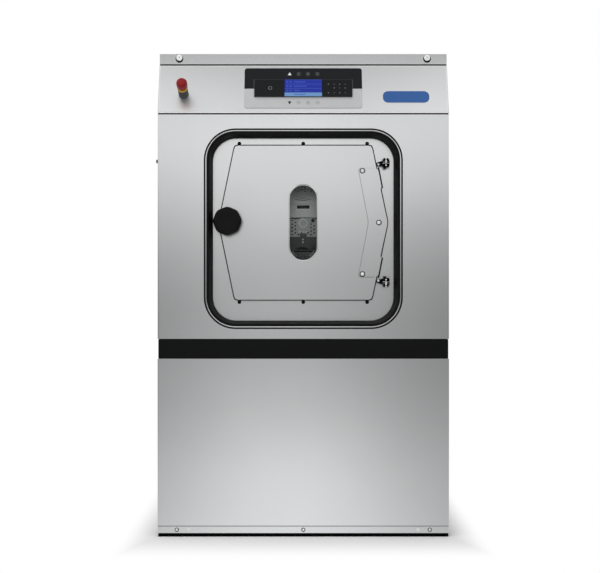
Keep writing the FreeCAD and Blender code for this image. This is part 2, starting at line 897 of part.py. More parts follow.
def hinge_brackets():
    brackets = []
    ear_x = ("hinge_side - hinge_ear_width / 2", "hinge_side + hinge_ear_width / 2")
    base_x = ("hinge_side - hinge_base_width / 2", "hinge_side + hinge_base_width / 2")
    ear_y = (f"{door_front} - hinge_radius", plate_front)
    for side in (-1, 1):
        low, high = knuckle_limits(side)
        foot = f"{low} - running - hinge_ear"
        head = f"{high} + running + hinge_ear"
        brackets.append(
            fuse(
                box(base_x, (door_back, plate_front), (foot, head)),
                box(ear_x, ear_y, (foot, f"{low} - running")),
                box(ear_x, ear_y, (f"{high} + running", head)),
                cylinder("z", "hinge_pin_radius", (foot, head), hinge_spot),
            )
        )
    pair = group(*brackets)
    return node("hinge_brackets", group(pair, rear(pair)))


housing_seat = f"({tub_face} + housing_flange)"
housing_face = f"({housing_seat} + bearing_width)"


def bearing_housings():
    housing = fuse(
        cylinder("x", "housing_flange_radius", (tub_face, housing_seat), axis_spot),
        cylinder("x", "housing_radius", (tub_face, housing_face), axis_spot),
    )
    passage = cylinder("x", "end_hole_radius", (tub_face, housing_seat), axis_spot)
    seat = cylinder("x", "bearing_radius", (housing_seat, housing_face), axis_spot)
    housing = cut(housing, passage, seat)
    return node("bearing_housings", group(housing, rear(housing)))


def bearings():
    race = ring("x", "bearing_radius", "shaft_radius + shaft_play", (housing_seat, housing_face), axis_spot)
    return node("bearings", group(race, rear(race)))


# cradle under the tub, with the motor's shelf, on four springs and two dampers
shelf_top = "(cradle_bottom + 2 * cradle_sheet)"
motor_level = f"({shelf_top} + motor_rise)"
motor_spot = ("motor_back", motor_level)


def tub_cradle():
    rise = ("cradle_bottom", "cradle_top")
    foot = ("cradle_bottom", "cradle_bottom + cradle_sheet")
    deep = middle("cradle_width")
    plate = (tub_face, f"{tub_face} + cradle_sheet")
    flange = (tub_face, f"{tub_face} + cradle_flange")
    left = fuse(
        box((minus(plate[1]), minus(plate[0])), deep, rise),
        box((minus(flange[1]), minus(flange[0])), deep, foot),
    )
    passage = cylinder("x", "motor_shaft_radius + cradle_sheet", plate, motor_spot)
    right = cut(fuse(box(plate, deep, rise), box(flange, deep, foot)), passage)
    shelf_y = ("motor_back - motor_radius", "cradle_width / 2")
    shelf = box((minus(tub_face), tub_face), shelf_y, (foot[1], shelf_top))
    return node("tub_cradle", group(left, right, shelf))


def suspension_springs():
    pieces = []
    for x in ("-spring_side", "spring_side"):
        for y in ("-spring_spread / 2", "spring_spread / 2"):
            rise = (frame_top, "cradle_bottom")
            pieces.append(ring("z", "spring_radius", "spring_radius - spring_wire", rise, (x, y)))
    return node("suspension_springs", group(*pieces))


def damper_rods():
    foot = f"{frame_top} + damper_floor + damper_room"
    rods = []
    for x in ("-spring_side", "spring_side"):
        rods.append(cylinder("z", "damper_rod_radius", (foot, "cradle_bottom"), (x, "0")))
    return node("damper_rods", group(*rods))


# drive
motor_end = "(motor_length / 2)"
pulley_x = ("pulley_place", "pulley_place + pulley_width")


def motor():
    body = cylinder("x", "motor_radius", middle("motor_length"), motor_spot)
    foot_y = ("motor_back - motor_foot / 2", "motor_back + motor_foot / 2")
    foot = box(middle("motor_length / 2"), foot_y, (shelf_top, motor_level))
    bored = (f"{motor_end} - motor_socket", motor_end)
    socket = cylinder("x", "motor_shaft_radius + pin_play", bored, motor_spot)
    return node("motor", cut(fuse(body, foot), socket))


def motor_pulley():
    long = (f"{motor_end} - motor_socket + seam", pulley_x[1])
    shaft = cylinder("x", "motor_shaft_radius", long, motor_spot)
    return node("motor_pulley", fuse(shaft, cylinder("x", "motor_pulley_radius", pulley_x, motor_spot)))


def belt_face(sized, gap):
    big = Vector(sized.start, 0, sized.high)
    small = Vector(sized.start, sized.back, sized.low)
    along = (small - big).normalize()
    aside = Vector(0, -along.z, along.y)
    lean = (sized.big - sized.small) / (small - big).Length
    spread = (1 - lean ** 2) ** 0.5
    touch = [along * lean + aside * spread, along * lean - aside * spread]
    big_ends = [big + direction * (sized.big + gap) for direction in touch]
    small_ends = [small + direction * (sized.small + gap) for direction in touch]
    edges = [
        Part.Arc(big_ends[1], big - along * (sized.big + gap), big_ends[0]).toShape(),
        Part.LineSegment(big_ends[0], small_ends[0]).toShape(),
        Part.Arc(small_ends[0], small + along * (sized.small + gap), small_ends[1]).toShape(),
        Part.LineSegment(small_ends[1], big_ends[1]).toShape(),
    ]
    return Part.Face(Part.Wire(edges))


def drive_belt():
    belt = doc.addObject("Part::Feature", "belt")
    texts = {
        "start": "pulley_place + (pulley_width - belt_width) / 2",
        "high": "axis_level",
        "low": motor_level,
        "back": "motor_back",
        "big": "drum_pulley_radius",
        "small": "motor_pulley_radius",
        "gap": "running",
        "thick": "belt_thickness",
        "wide": "belt_width",
    }
    for name, text in texts.items():
        belt.addProperty("App::PropertyFloat", name)
        belt.setExpression(name, in_sheet(text))
    doc.recompute()
    across = Vector(belt.wide, 0, 0)
    outer = belt_face(belt, belt.gap + belt.thick).extrude(across)
    belt.Shape = outer.cut(belt_face(belt, belt.gap).extrude(across))
    return node("drive_belt", belt)


# drum, with a hatch in its shell that two flaps close
drum_half = "(drum_length / 2)"
drum_face = "(drum_length / 2 + drum_end)"
drum_outer = "(drum_radius + drum_sheet)"
hatch_half = "(hatch_height / 2)"
flap_x = middle("hatch_width - 2 * hatch_gap")
pin_rise = f"({hatch_half} - flap_pin_drop)"
pin_y = f"(-sqrt((drum_radius - flap_pin_depth) ^ 2 - {pin_rise} ^ 2))"


def drum_ring():
    return ring("x", drum_outer, "drum_radius", (minus(drum_half), drum_half), axis_spot)


# limits above the axis for side 1, and the same limits below it for side -1
def risen(side, low, high):
    if side > 0:
        return f"axis_level + {low}", f"axis_level + {high}"
    return f"axis_level - ({high})", f"axis_level - ({low})"


def pin_spot(side):
    return pin_y, f"axis_level + {side} * {pin_rise}"


# a hinge lug on the drum: round about the pin, then up to the shell beyond the hatch edge
def drum_lug(side, x):
    long = (f"{x} - lug_width / 2", f"{x} + lug_width / 2")
    deep = (f"{pin_y} - lug_radius", f"{pin_y} + lug_radius")
    inside = cylinder("x", "drum_radius - running", long, axis_spot)
    into_shell = cylinder("x", "drum_radius + drum_sheet / 2", long, axis_spot)
    return fuse(
        cylinder("x", "lug_radius", long, pin_spot(side)),
        common(box(long, deep, risen(side, pin_rise, hatch_half)), inside),
        common(box(long, deep, risen(side, hatch_half, f"{pin_rise} + lug_height")), into_shell),
    )


lug_sides = ("-lug_spread / 2", "lug_spread / 2")


def drum_shell():
    hatch = box(middle("hatch_width"), (minus(drum_outer), "0"), risen(1, minus(hatch_half), hatch_half))
    pieces = [cut(drum_ring(), hatch)]
    for side in (-1, 1):
        for x in lug_sides:
            pieces.append(drum_lug(side, x))
    shell = fuse(*pieces)
    for side in (-1, 1):
        shell = cut(shell, cylinder("x", "flap_pin_radius + pin_play", flap_x, pin_spot(side)))
    return node("drum_shell", shell)


# a curved flap with its hinge pin, held to it by two lugs of its own
def flap(side, near):
    skin = box(flap_x, (minus(drum_outer), "0"), risen(side, near, f"{hatch_half} - hatch_gap"))
    pieces = [common(drum_ring(), skin), cylinder("x", "flap_pin_radius", flap_x, pin_spot(side))]
    for x in lug_sides:
        long = (f"({x}) / 2 - lug_width / 2", f"({x}) / 2 + lug_width / 2")
        reach = (f"{pin_y} - flap_pin_depth - drum_sheet", pin_y)
        limits = risen(side, f"{pin_rise} - flap_pin_radius", f"{pin_rise} + flap_pin_radius")
        into_skin = cylinder("x", "drum_radius + drum_sheet / 2", long, axis_spot)
        pieces.append(common(box(long, reach, limits), into_skin))
    return fuse(*pieces)


latch_foot = f"({minus(drum_outer)} + latch_depth)"


def flaps():
    node("flap_upper", flap(1, "seam_rise + hatch_gap / 2"))
    hole = cylinder("y", "latch_spindle_radius + pin_play", (minus(drum_outer), latch_foot), axis_spot)
    node("flap_lower", cut(flap(-1, "hatch_gap / 2 - seam_rise"), hole))


# a turning latch on the lower flap: its cam lies along the flap at rest and turns up behind the other flap
def drum_latch():
    head_back = f"({minus(drum_outer)} - running)"
    cam_y = (f"{latch_foot} - latch_cam_sheet", latch_foot)
    half_cam = "latch_cam_width / 2"
    latch = fuse(
        cylinder("y", "latch_radius", (f"{head_back} - latch_head", head_back), axis_spot),
        cylinder("y", "latch_spindle_radius", (head_back, latch_foot), axis_spot),
        cylinder("y", half_cam, cam_y, axis_spot),
        box(("0", "latch_cam_length"), cam_y, risen(1, minus(half_cam), half_cam)),
    )
    return node("drum_latch", latch)


def drum_ends():
    end = cylinder("x", drum_outer, (drum_half, drum_face), axis_spot)
    return node("drum_ends", group(end, rear(end)))


def drum_lifters():
    foot = middle("lifter_top")
    head = middle("lifter_base")
    long = (minus(drum_half), drum_half)
    rise = ("axis_level + drum_radius - lifter_height", "axis_level + drum_radius")
    lifter = common(
        trapezoid("yz", foot, head, rise, long), cylinder("x", "drum_radius", long, axis_spot),
    )
    lifters = []
    for turn in lifter_turns:
        turned = group(lifter)
        turned.Placement = Placement(Vector(), Rotation(Vector(1, 0, 0), turn))
        place(turned, "0", f"axis_level * sin({turn} deg)", f"axis_level * (1 - cos({turn} deg))")
        lifters.append(turned)
    return node("drum_lifters", group(*lifters))


def drum_shafts():
    flange = cylinder("x", "shaft_flange_radius", (drum_face, f"{drum_face} + shaft_flange"), axis_spot)
    driven = fuse(flange, cylinder("x", "shaft_radius", (drum_face, pulley_x[1]), axis_spot))
    idle = fuse(flange, cylinder("x", "shaft_radius", (drum_face, housing_face), axis_spot))
    return node("drum_shafts", group(driven, rear(idle)))


def drum_pulley():
    return node("drum_pulley", ring("x", "drum_pulley_radius", "shaft_radius", pulley_x, axis_spot))


# doors, made for the front and turned half round for the rear
def hex_edge(rise):
    return f"(door_flat / 2 + (door_width - door_flat) / 2 * (1 - ({rise}) / (door_height / 2)))"


def door_panel():
    skin = (door_front, door_back)
    flat, wide = middle("door_flat"), middle("door_width")
    slab = fuse(
        trapezoid("xz", wide, flat, ("axis_level", "axis_level + door_height / 2"), skin),
        trapezoid("xz", flat, wide, ("axis_level - door_height / 2", "axis_level"), skin),
    )
    recess = box(
        middle("doorway_width - 2 * door_recess_margin"), (f"{door_front} + door_sheet", door_back),
        (f"{doorway_z[0]} + door_recess_margin", f"{doorway_z[1]} - door_recess_margin"),
    )
    window = stadium("window_width", "window_height", "axis_level", skin)
    spindle = cylinder("y", "knob_spindle_radius + pin_play", skin, ("-knob_side", knob_level))
    return cut(slab, recess, window, spindle)


def door_seal():
    skin = (door_back, f"{plate_front} - running")

    def slab(margin):
        rise = (f"{doorway_z[0]} - ({margin})", f"{doorway_z[1]} + {margin}")
        return box(middle(f"doorway_width + 2 * ({margin})"), skin, rise)

    return cut(slab("seal_margin + seal_width"), slab("seal_margin"))


def window_glass():
    skin = (f"{door_front} + door_sheet", f"{door_front} + door_sheet + glass")
    return stadium("window_width + 2 * glass_lap", "window_height + 2 * glass_lap", "axis_level", skin)


def hinge_plate():
    skin = (f"{door_front} - overlay_sheet", door_front)
    centre = ("overlay_middle", "door_width / 2 - overlay_margin")
    end = ("overlay_edge", f"{hex_edge('overlay_height / 2')} - overlay_margin")
    pieces = [
        trapezoid("xz", centre, end, ("axis_level", "axis_level + overlay_height / 2"), skin),
        trapezoid("xz", end, centre, ("axis_level - overlay_height / 2", "axis_level"), skin),
    ]
    arm_x = (f"{hex_edge('hinge_rise')} - hinge_arm_lap", "hinge_side")
    for side in (-1, 1):
        pieces.append(box(arm_x, (f"{door_front} - hinge_arm", door_front), knuckle_limits(side)))
        pieces.append(cylinder("z", "hinge_radius", knuckle_limits(side), hinge_spot))
    bores = [
        cylinder("z", "hinge_pin_radius + pin_play", knuckle_limits(side), hinge_spot) for side in (-1, 1)
    ]
    return cut(fuse(*pieces), *bores)


def dome_screws():
    proud = (f"{door_front} - overlay_sheet - dome_head", f"{door_front} - overlay_sheet")
    spots = (
        ("dome_edge", "axis_level + dome_rise"),
        ("dome_middle", "axis_level"),
        ("dome_edge", "axis_level - dome_rise"),
    )
    return group(*[cylinder("y", "dome_radius", proud, spot) for spot in spots])


# a lobed knob whose tongue points up at rest and turns sideways behind the keeper
def knob():
    spot = ("-knob_side", knob_level)
    knob_back = f"({door_front} - knob_standoff)"
    disc_y = (f"{knob_back} - knob_depth", knob_back)
    pieces = [
        cylinder("y", "knob_radius", disc_y, spot),
        cylinder("y", "knob_neck_radius", (knob_back, f"{door_front} - running"), spot),
        cylinder("y", "knob_spindle_radius", (f"{door_front} - running", door_back), spot),
        box(
            ("-knob_side - tongue_width / 2", "-knob_side + tongue_width / 2"), (tongue_front, tongue_back),
            (knob_level, f"{knob_level} + tongue_length"),
        ),
    ]
    for lobe in range(knob_lobes):
        turn = 360 * lobe / knob_lobes
        x = f"-knob_side + knob_radius * cos({turn} deg)"
        z = f"{knob_level} + knob_radius * sin({turn} deg)"
        pieces.append(cylinder("y", "knob_lobe_radius", disc_y, (x, z)))
    return fuse(*pieces)


def doors():
    pieces = {
        "door_panel": door_panel(),
        "door_seal": door_seal(),
        "window_glass": window_glass(),
        "knob": knob(),
    }
    for name, piece in pieces.items():
        node(f"front_{name}", piece)
        node(f"rear_{name}", rear(piece))
    plate = node("front_hinge_plate", hinge_plate())
    screws = node("front_door_screws", dome_screws())
    node("rear_hinge_plate", rear(group(plate, screws)))


def check_and_write():
    doc.recompute()
    for obj in doc.Objects:
        if "Invalid" in obj.State or "Error" in obj.State:
            raise RuntimeError(f"{obj.Label}: {obj.State}")
    for obj in nodes:
        if obj.Shape.isNull() or not obj.Shape.isValid() or not obj.Shape.Solids:
            raise RuntimeError(f"{obj.Label}: no valid solid")
    os.makedirs("parts", exist_ok=True)
    for obj in nodes:
        obj.Shape.exportStep(f"parts/{obj.Label}.step")
        print(obj.Label, len(obj.Shape.Solids), round(obj.Shape.Volume / 1000), "cm3")


makers = (
    cabinet_frame, levelling_feet, front_panels, rear_panels, side_panels, belt_band, plinth_strips,
    panel_screws, top_cover, lid_locks, control_panel, emergency_stop, door_trims, door_bellows,
    control_box, inlet_valves, drain_valve, drain_hose, damper_cylinders,
    tub_shell, tub_ends, tub_plates, plate_screws, hinge_brackets, bearing_housings, bearings,
    tub_cradle, suspension_springs, damper_rods, motor, motor_pulley, drive_belt,
    drum_shell, flaps, drum_latch, drum_ends, drum_lifters, drum_shafts, drum_pulley, doors,
)
for make in makers:
    make()
check_and_write()
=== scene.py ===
import bpy
import bmesh
import json
from math import atan2, ceil, cos, hypot, pi, radians, sin, sqrt
from mathutils import Matrix, Vector


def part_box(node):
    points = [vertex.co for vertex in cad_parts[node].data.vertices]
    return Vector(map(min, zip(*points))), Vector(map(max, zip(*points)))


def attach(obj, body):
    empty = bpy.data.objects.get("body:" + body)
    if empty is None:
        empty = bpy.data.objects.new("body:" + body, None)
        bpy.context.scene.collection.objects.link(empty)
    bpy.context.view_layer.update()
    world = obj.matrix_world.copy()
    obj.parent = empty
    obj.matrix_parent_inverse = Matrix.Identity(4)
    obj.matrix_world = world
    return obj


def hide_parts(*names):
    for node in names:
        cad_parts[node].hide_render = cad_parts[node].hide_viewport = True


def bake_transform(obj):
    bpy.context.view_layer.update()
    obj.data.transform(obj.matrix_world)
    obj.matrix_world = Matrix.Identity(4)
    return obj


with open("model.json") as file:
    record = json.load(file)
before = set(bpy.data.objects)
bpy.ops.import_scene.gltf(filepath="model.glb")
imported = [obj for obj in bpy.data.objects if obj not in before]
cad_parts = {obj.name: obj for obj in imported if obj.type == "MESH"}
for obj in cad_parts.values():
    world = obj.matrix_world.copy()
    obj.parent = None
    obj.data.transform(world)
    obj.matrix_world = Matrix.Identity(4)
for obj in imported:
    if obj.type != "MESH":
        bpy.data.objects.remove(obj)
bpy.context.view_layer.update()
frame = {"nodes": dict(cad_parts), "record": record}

scene = bpy.context.scene
scene.view_settings.view_transform = "Standard"
mm = 0.001
halfTurn = Matrix.Rotation(pi, 4, "Z")  # the rear door side is the front one turned half round
asIs = Matrix.Identity(4)
toRight, toBack, toTop = Vector((1, 0, 0)), Vector((0, 1, 0)), Vector((0, 0, 1))
axis = Vector((0, 0, 1058 * mm))  # the drum turns about x through here
print("frame loaded:", len(frame["nodes"]), "nodes")


def hexLinear(code):
    parts = [int(code[i:i + 2], 16) / 255 for i in (1, 3, 5)]
    return [c / 12.92 if c <= 0.04045 else ((c + 0.055) / 1.055) ** 2.4 for c in parts] + [1.0]


def addNode(tree, kind, links=None, **settings):
    node = tree.nodes.new(kind) if isinstance(kind, str) else kind
    for name, value in settings.items():
        setattr(node, name, value)
    for socket, source in (links or {}).items():
        if isinstance(source, bpy.types.NodeSocket):
            tree.links.new(source, node.inputs[socket])
        else:
            node.inputs[socket].default_value = source
    return node


def newMaterial(name, even):
    material = bpy.data.materials.new(name)
    material.use_nodes = True
    tree = material.node_tree
    shader = addNode(tree, tree.nodes["Principled BSDF"], even)  # values that are the same all over
    where = addNode(tree, "ShaderNodeTexCoord").outputs["Object"]
    return material, tree, shader, where


# starts a material whose colour drifts between two tones in soft patches
def driftingTone(name, even, pale, dark, patchMm, detail):
    material, tree, shader, where = newMaterial(name, even)
    patch = addNode(tree, "ShaderNodeTexNoise",
                    {"Vector": where, "Scale": 1 / (patchMm * mm), "Detail": detail})
    tone = addNode(tree, "ShaderNodeMix", {0: patch.outputs["Fac"], 6: hexLinear(dark), 7: hexLinear(pale)},
                   data_type="RGBA")
    addNode(tree, shader, {"Base Color": tone.outputs[2]})
    return material, tree, shader, where, patch.outputs["Fac"], tone.outputs[2]


# cold-rolled stainless sheet, belt-brushed upright: soft wide reflections and faint upright lines
def brushedStainless(name, pale, dark, rough, lineMm=1.6, runMm=420.0, lift=0.02):
    # real belt lines are about 0.1 mm wide, drawn at lineMm so that they show
    material, tree, shader, where, *_ = driftingTone(name, {"Metallic": 1.0}, pale, dark, 180.0, 2.0)
    across, along = 1 / (lineMm * mm), 1 / (runMm * mm)
    lay = addNode(tree, "ShaderNodeMapping", {"Vector": where, "Scale": (across, across, along)})
    lines = addNode(tree, "ShaderNodeTexNoise", {"Vector": lay.outputs[0], "Scale": 1.0, "Detail": 3.0})
    gloss = addNode(tree, "ShaderNodeMapRange",
                    {"Value": lines.outputs["Fac"], "From Min": 0.3, "From Max": 0.7,
                     "To Min": rough - 0.01, "To Max": rough + 0.01})
    relief = addNode(tree, "ShaderNodeBump", {"Height": lines.outputs["Fac"], "Strength": lift,
                                              "Distance": 0.05 * mm})
    addNode(tree, shader, {"Roughness": gloss.outputs[0], "Normal": relief.outputs[0]})
    return material


# stainless sheet punched with staggered round holes: dark dots on satin steel, laid round the drum's axis
def perforatedStainless(name, pale, dark, rough, pitchMm=11.0, holeMm=5.6, radiusMm=313.5):
    material, tree, shader, where, _, steel = driftingTone(name, {"Metallic": 1.0}, pale, dark, 70.0, 3.0)
    part = addNode(tree, "ShaderNodeSeparateXYZ", {0: where})
    rise = addNode(tree, "ShaderNodeMath", {0: part.outputs["Z"], 1: axis.z}, operation="SUBTRACT")
    turn = addNode(tree, "ShaderNodeMath", {0: rise.outputs[0], 1: part.outputs["Y"]}, operation="ARCTAN2")
    along = addNode(tree, "ShaderNodeMath", {0: turn.outputs[0], 1: radiusMm * mm}, operation="MULTIPLY")
    flat = addNode(tree, "ShaderNodeCombineXYZ", {"X": part.outputs["X"], "Y": along.outputs[0]})
    lay = addNode(tree, "ShaderNodeMapping", {"Vector": flat.outputs[0], "Rotation": (0, 0, radians(45))})
    cells = addNode(tree, "ShaderNodeTexVoronoi",
                    {"Vector": lay.outputs[0], "Scale": 1 / (pitchMm * mm), "Randomness": 0.0},
                    voronoi_dimensions="2D")
    share = holeMm / 2 / pitchMm
    solid = addNode(tree, "ShaderNodeMapRange", {"Value": cells.outputs["Distance"], "From Min": share * 0.94,
                                                 "From Max": share * 1.06})
    tone = addNode(tree, "ShaderNodeMix", {0: solid.outputs[0], 6: hexLinear("#0A0A0B"), 7: steel},
                   data_type="RGBA")
    gloss = addNode(tree, "ShaderNodeMapRange", {"Value": solid.outputs[0], "To Min": 0.9, "To Max": rough})
    relief = addNode(tree, "ShaderNodeBump",
                     {"Height": solid.outputs[0], "Strength": 0.5, "Distance": 0.6 * mm})
    addNode(tree, shader, {"Base Color": tone.outputs[2], "Roughness": gloss.outputs[0],
                           "Normal": relief.outputs[0]})
    return material


# buffed or plated steel: clear small reflections with a trace of handling haze
def polishedSteel(name, pale, dark, rough):
    material, tree, shader, _, haze, _ = driftingTone(name, {"Metallic": 1.0}, pale, dark, 14.0, 4.0)
    gloss = addNode(tree, "ShaderNodeMapRange", {"Value": haze, "From Min": 0.3, "From Max": 0.7,
                                                 "To Min": rough * 0.7, "To Max": rough * 1.3})
    addNode(tree, shader, {"Roughness": gloss.outputs[0]})
    return material


# moulded plastic or rubber: one colour with a fine spark-eroded or talced grain and slightly uneven gloss
def mouldedGrain(name, pale, dark, rough, grainMm, lift, even=None):
    even = {"IOR": 1.5, **(even or {})}
    material, tree, shader, where, patch, _ = driftingTone(name, even, pale, dark, 45.0, 3.0)
    grain = addNode(tree, "ShaderNodeTexNoise", {"Vector": where, "Scale": 1 / (grainMm * mm), "Detail": 2.0})
    gloss = addNode(tree, "ShaderNodeMapRange", {"Value": patch, "From Min": 0.3, "From Max": 0.7,
                                                 "To Min": rough - 0.05, "To Max": rough + 0.05})
    relief = addNode(tree, "ShaderNodeBump", {"Height": grain.outputs["Fac"], "Strength": lift,
                                              "Distance": 0.1 * mm})
    addNode(tree, shader, {"Roughness": gloss.outputs[0], "Normal": relief.outputs[0]})
    return material


# baked powder or stoved enamel: orange-peel ripple of a few millimetres under an even gloss
def bakedPaint(name, pale, dark, rough, peelMm=2.5):
    even = {"IOR": 1.5, "Coat Weight": 0.15, "Coat Roughness": 0.2}
    material, tree, shader, where, dust, _ = driftingTone(name, even, pale, dark, 120.0, 5.0)
    peel = addNode(tree, "ShaderNodeTexNoise", {"Vector": where, "Scale": 1 / (peelMm * mm), "Detail": 1.0})
    gloss = addNode(tree, "ShaderNodeMapRange", {"Value": dust, "To Min": rough + 0.08,
                                                 "To Max": rough - 0.05})
    relief = addNode(tree, "ShaderNodeBump", {"Height": peel.outputs["Fac"], "Strength": 0.12,
                                              "Distance": 0.08 * mm})
    addNode(tree, shader, {"Roughness": gloss.outputs[0], "Normal": relief.outputs[0]})
    return material


# sand-cast iron, left rough: grains of about a millimetre, dark and dry
def castIron(name, pale, dark, rough):
    material, tree, shader, where, stain, _ = driftingTone(name, {"Metallic": 0.85}, pale, dark, 60.0, 6.0)
    sand = addNode(tree, "ShaderNodeTexVoronoi", {"Vector": where, "Scale": 1 / (1.4 * mm)})
    gloss = addNode(tree, "ShaderNodeMapRange", {"Value": stain, "To Min": rough + 0.1,
                                                 "To Max": rough - 0.1})
    relief = addNode(tree, "ShaderNodeBump", {"Height": sand.outputs["Distance"], "Strength": 0.35,
                                              "Distance": 0.2 * mm})
    addNode(tree, shader, {"Roughness": gloss.outputs[0], "Normal": relief.outputs[0]})
    return material


# printed polyester film over a membrane: flat ink under a fine satin texture, some of it lit from behind
def printedFilm(name, pale, dark, rough, glow=0.0):
    even = {"IOR": 1.58, "Specular IOR Level": 0.2, "Emission Strength": glow}
    material, tree, shader, where, _, ink = driftingTone(name, even, pale, dark, 30.0, 2.0)
    satin = addNode(tree, "ShaderNodeTexNoise", {"Vector": where, "Scale": 1 / (0.5 * mm), "Detail": 1.0})
    gloss = addNode(tree, "ShaderNodeMapRange", {"Value": satin.outputs["Fac"], "To Min": rough - 0.04,
                                                 "To Max": rough + 0.04})
    addNode(tree, shader, {"Roughness": gloss.outputs[0]})
    if glow:
        addNode(tree, shader, {"Emission Color": ink})
    return material


# toughened window glass: clear with a green trace, mirrors little, wiped and a little streaked
def toughenedGlass(name):
    even = {"Base Color": hexLinear("#F9FCFA"), "IOR": 1.5, "Transmission Weight": 1.0,
            "Specular Tint": hexLinear("#787878")}
    material, tree, shader, where = newMaterial(name, even)
    lay = addNode(tree, "ShaderNodeMapping", {"Vector": where, "Scale": (1 / (9 * mm), 1.0, 1 / (80 * mm))})
    wipe = addNode(tree, "ShaderNodeTexNoise", {"Vector": lay.outputs[0], "Scale": 1.0, "Detail": 3.0})
    gloss = addNode(tree, "ShaderNodeMapRange",
                    {"Value": wipe.outputs["Fac"], "From Min": 0.45, "From Max": 0.8, "To Min": 0.0,
                     "To Max": 0.06})
    addNode(tree, shader, {"Roughness": gloss.outputs[0]})
    return material


satinSteel = brushedStainless("stainless_sheet_belt_brushed", "#ECEDEE", "#E6E7E8", 0.24)
plinthSteel = brushedStainless("stainless_strip_fine_brushed", "#EDEEEF", "#E7E8E9", 0.3)
# control panel steel: coarser brushing, and paler than the cabinet sheet as painted light
slopeSteel = brushedStainless("stainless_sheet_coarse_brushed_painted_lit", "#F8F9FA", "#F2F3F4", 0.35)
doorSteel = brushedStainless("stainless_sheet_fine_brushed", "#E9EAEB", "#E3E4E5", 0.25, 1.3, 320.0, 0.015)
drumSteel = brushedStainless("stainless_drum_electropolished", "#C9CBCC", "#B4B6B8", 0.27, 2.2, 60.0, 0.04)
holedSteel = perforatedStainless("stainless_drum_perforated", "#C9CBCC", "#B4B6B8", 0.3)
tubSteel = brushedStainless("stainless_tub_pickled", "#C4C6C7", "#AEB0B2", 0.36, 2.0, 120.0)
brightSteel = polishedSteel("stainless_fitting_polished", "#E6E7E8", "#D4D6D8", 0.13)
blackScrew = polishedSteel("steel_screw_blackened", "#2C2D2F", "#1B1C1E", 0.32)
# near-black hinge steel: painted dark reflections on the flanks of chrome hinge barrels
blackSteel = polishedSteel("steel_hinge_painted_dark_reflection", "#1B1C1E", "#111213", 0.26)
zincPlate = polishedSteel("steel_zinc_passivated", "#C9C7B9", "#A9ABA6", 0.28)
groundSteel = polishedSteel("steel_ground_oiled", "#B9BBBD", "#9A9DA0", 0.18)
springSteel = polishedSteel("spring_steel_phosphated", "#3C3E40", "#26282A", 0.4)
ironCasting = castIron("grey_iron_sand_cast", "#5A5C5E", "#3A3C3E", 0.55)
framePaint = bakedPaint("steel_powder_coated_grey", "#6E7275", "#5E6265", 0.42)
motorEnamel = bakedPaint("steel_stove_enamelled_blue_grey", "#4F5A63", "#3F4850", 0.35)
boxPaint = bakedPaint("steel_powder_coated_pale", "#C9CBC8", "#BDBFBC", 0.4)
badgeEnamel = bakedPaint("aluminium_plate_enamelled_blue", "#14569C", "#104E93", 0.3, 6.0)
# copies of one flap steel: this plain one, a darker one on the lower flap and latch as painted shade, a paler
# one on the upper flap as painted light
flapSteel = mouldedGrain("stainless_flap_satin_blasted", "#DADCDD", "#CED1D2", 0.5, 0.8, 0.2,
                         {"Metallic": 0.35})
dullSteel = mouldedGrain("stainless_flap_painted_shade", "#BBBDBE", "#AFB1B2", 0.5, 0.8, 0.2,
                         {"Metallic": 0.5})
paleSteel = mouldedGrain("stainless_flap_painted_light", "#EEEFEF", "#E5E6E6", 0.5, 0.8, 0.2,
                         {"Metallic": 0.35})
# black foam: a joint seal, and painted shadow in the gap under the plinth
foamStrip = mouldedGrain("epdm_foam_strip_black_and_painted_shade", "#060607", "#040405", 0.9, 1.2, 0.3,
                         {"Specular IOR Level": 0.05})
# near white for plated faces and bright edges: partly their own pale plating, partly painted highlight
# standing in for their reflections
nickelFace = mouldedGrain("satin_nickel_and_painted_highlight", "#FCFCFB", "#F6F6F5", 0.35, 0.4, 0.05,
                          {"Metallic": 0.1})
gasketRubber = mouldedGrain("epdm_rubber_moulded", "#0B0B0C", "#070708", 0.6, 0.6, 0.2,
                            {"Specular IOR Level": 0.16})
sealRubber = mouldedGrain("silicone_rubber_extruded", "#535457", "#47484A", 0.45, 0.5, 0.15)
hoseRubber = mouldedGrain("epdm_hose_corrugated", "#19191A", "#111112", 0.55, 0.8, 0.2)
beltRubber = mouldedGrain("neoprene_belt_ground", "#202021", "#161617", 0.7, 0.5, 0.3)
bandPlastic = mouldedGrain("abs_band_textured_black", "#0C0D0E", "#08090A", 0.5, 1.1, 0.14,
                           {"Specular IOR Level": 0.15})
knobPlastic = mouldedGrain("phenolic_knob_moulded_black", "#0A0A0B", "#070708", 0.5, 0.7, 0.2,
                           {"Specular IOR Level": 0.18})
bezelPlastic = mouldedGrain("polycarbonate_bezel_dark", "#0F1415", "#0C1011", 0.45, 0.5, 0.1,
                            {"Specular IOR Level": 0.25})
bezelLip = mouldedGrain("polycarbonate_bezel_edge", "#454A4B", "#3C4042", 0.4, 0.5, 0.1)
greyPlastic = mouldedGrain("nylon_moulded_dark_grey", "#3B3D40", "#2E3033", 0.45, 0.6, 0.2)
redPlastic = mouldedGrain("polycarbonate_moulded_red", "#940A18", "#7E0612", 0.4, 0.5, 0.06,
                          {"Specular IOR Level": 0.3})
yellowPlastic = mouldedGrain("polycarbonate_moulded_yellow", "#CFA016", "#BC9010", 0.38, 0.5, 0.08)
palePlastic = mouldedGrain("polypropylene_moulded_pale", "#C6C8C6", "#B4B6B4", 0.45, 0.8, 0.15)
blackFilm = printedFilm("polyester_film_black", "#13161A", "#101316", 0.45)
greyFilm = printedFilm("polyester_film_grey", "#BFC0C1", "#B9BABB", 0.4)
whiteInk = printedFilm("screen_ink_white", "#F2F2F0", "#E6E6E4", 0.45)
blackInk = printedFilm("screen_ink_black", "#0E0F10", "#0A0A0B", 0.45)
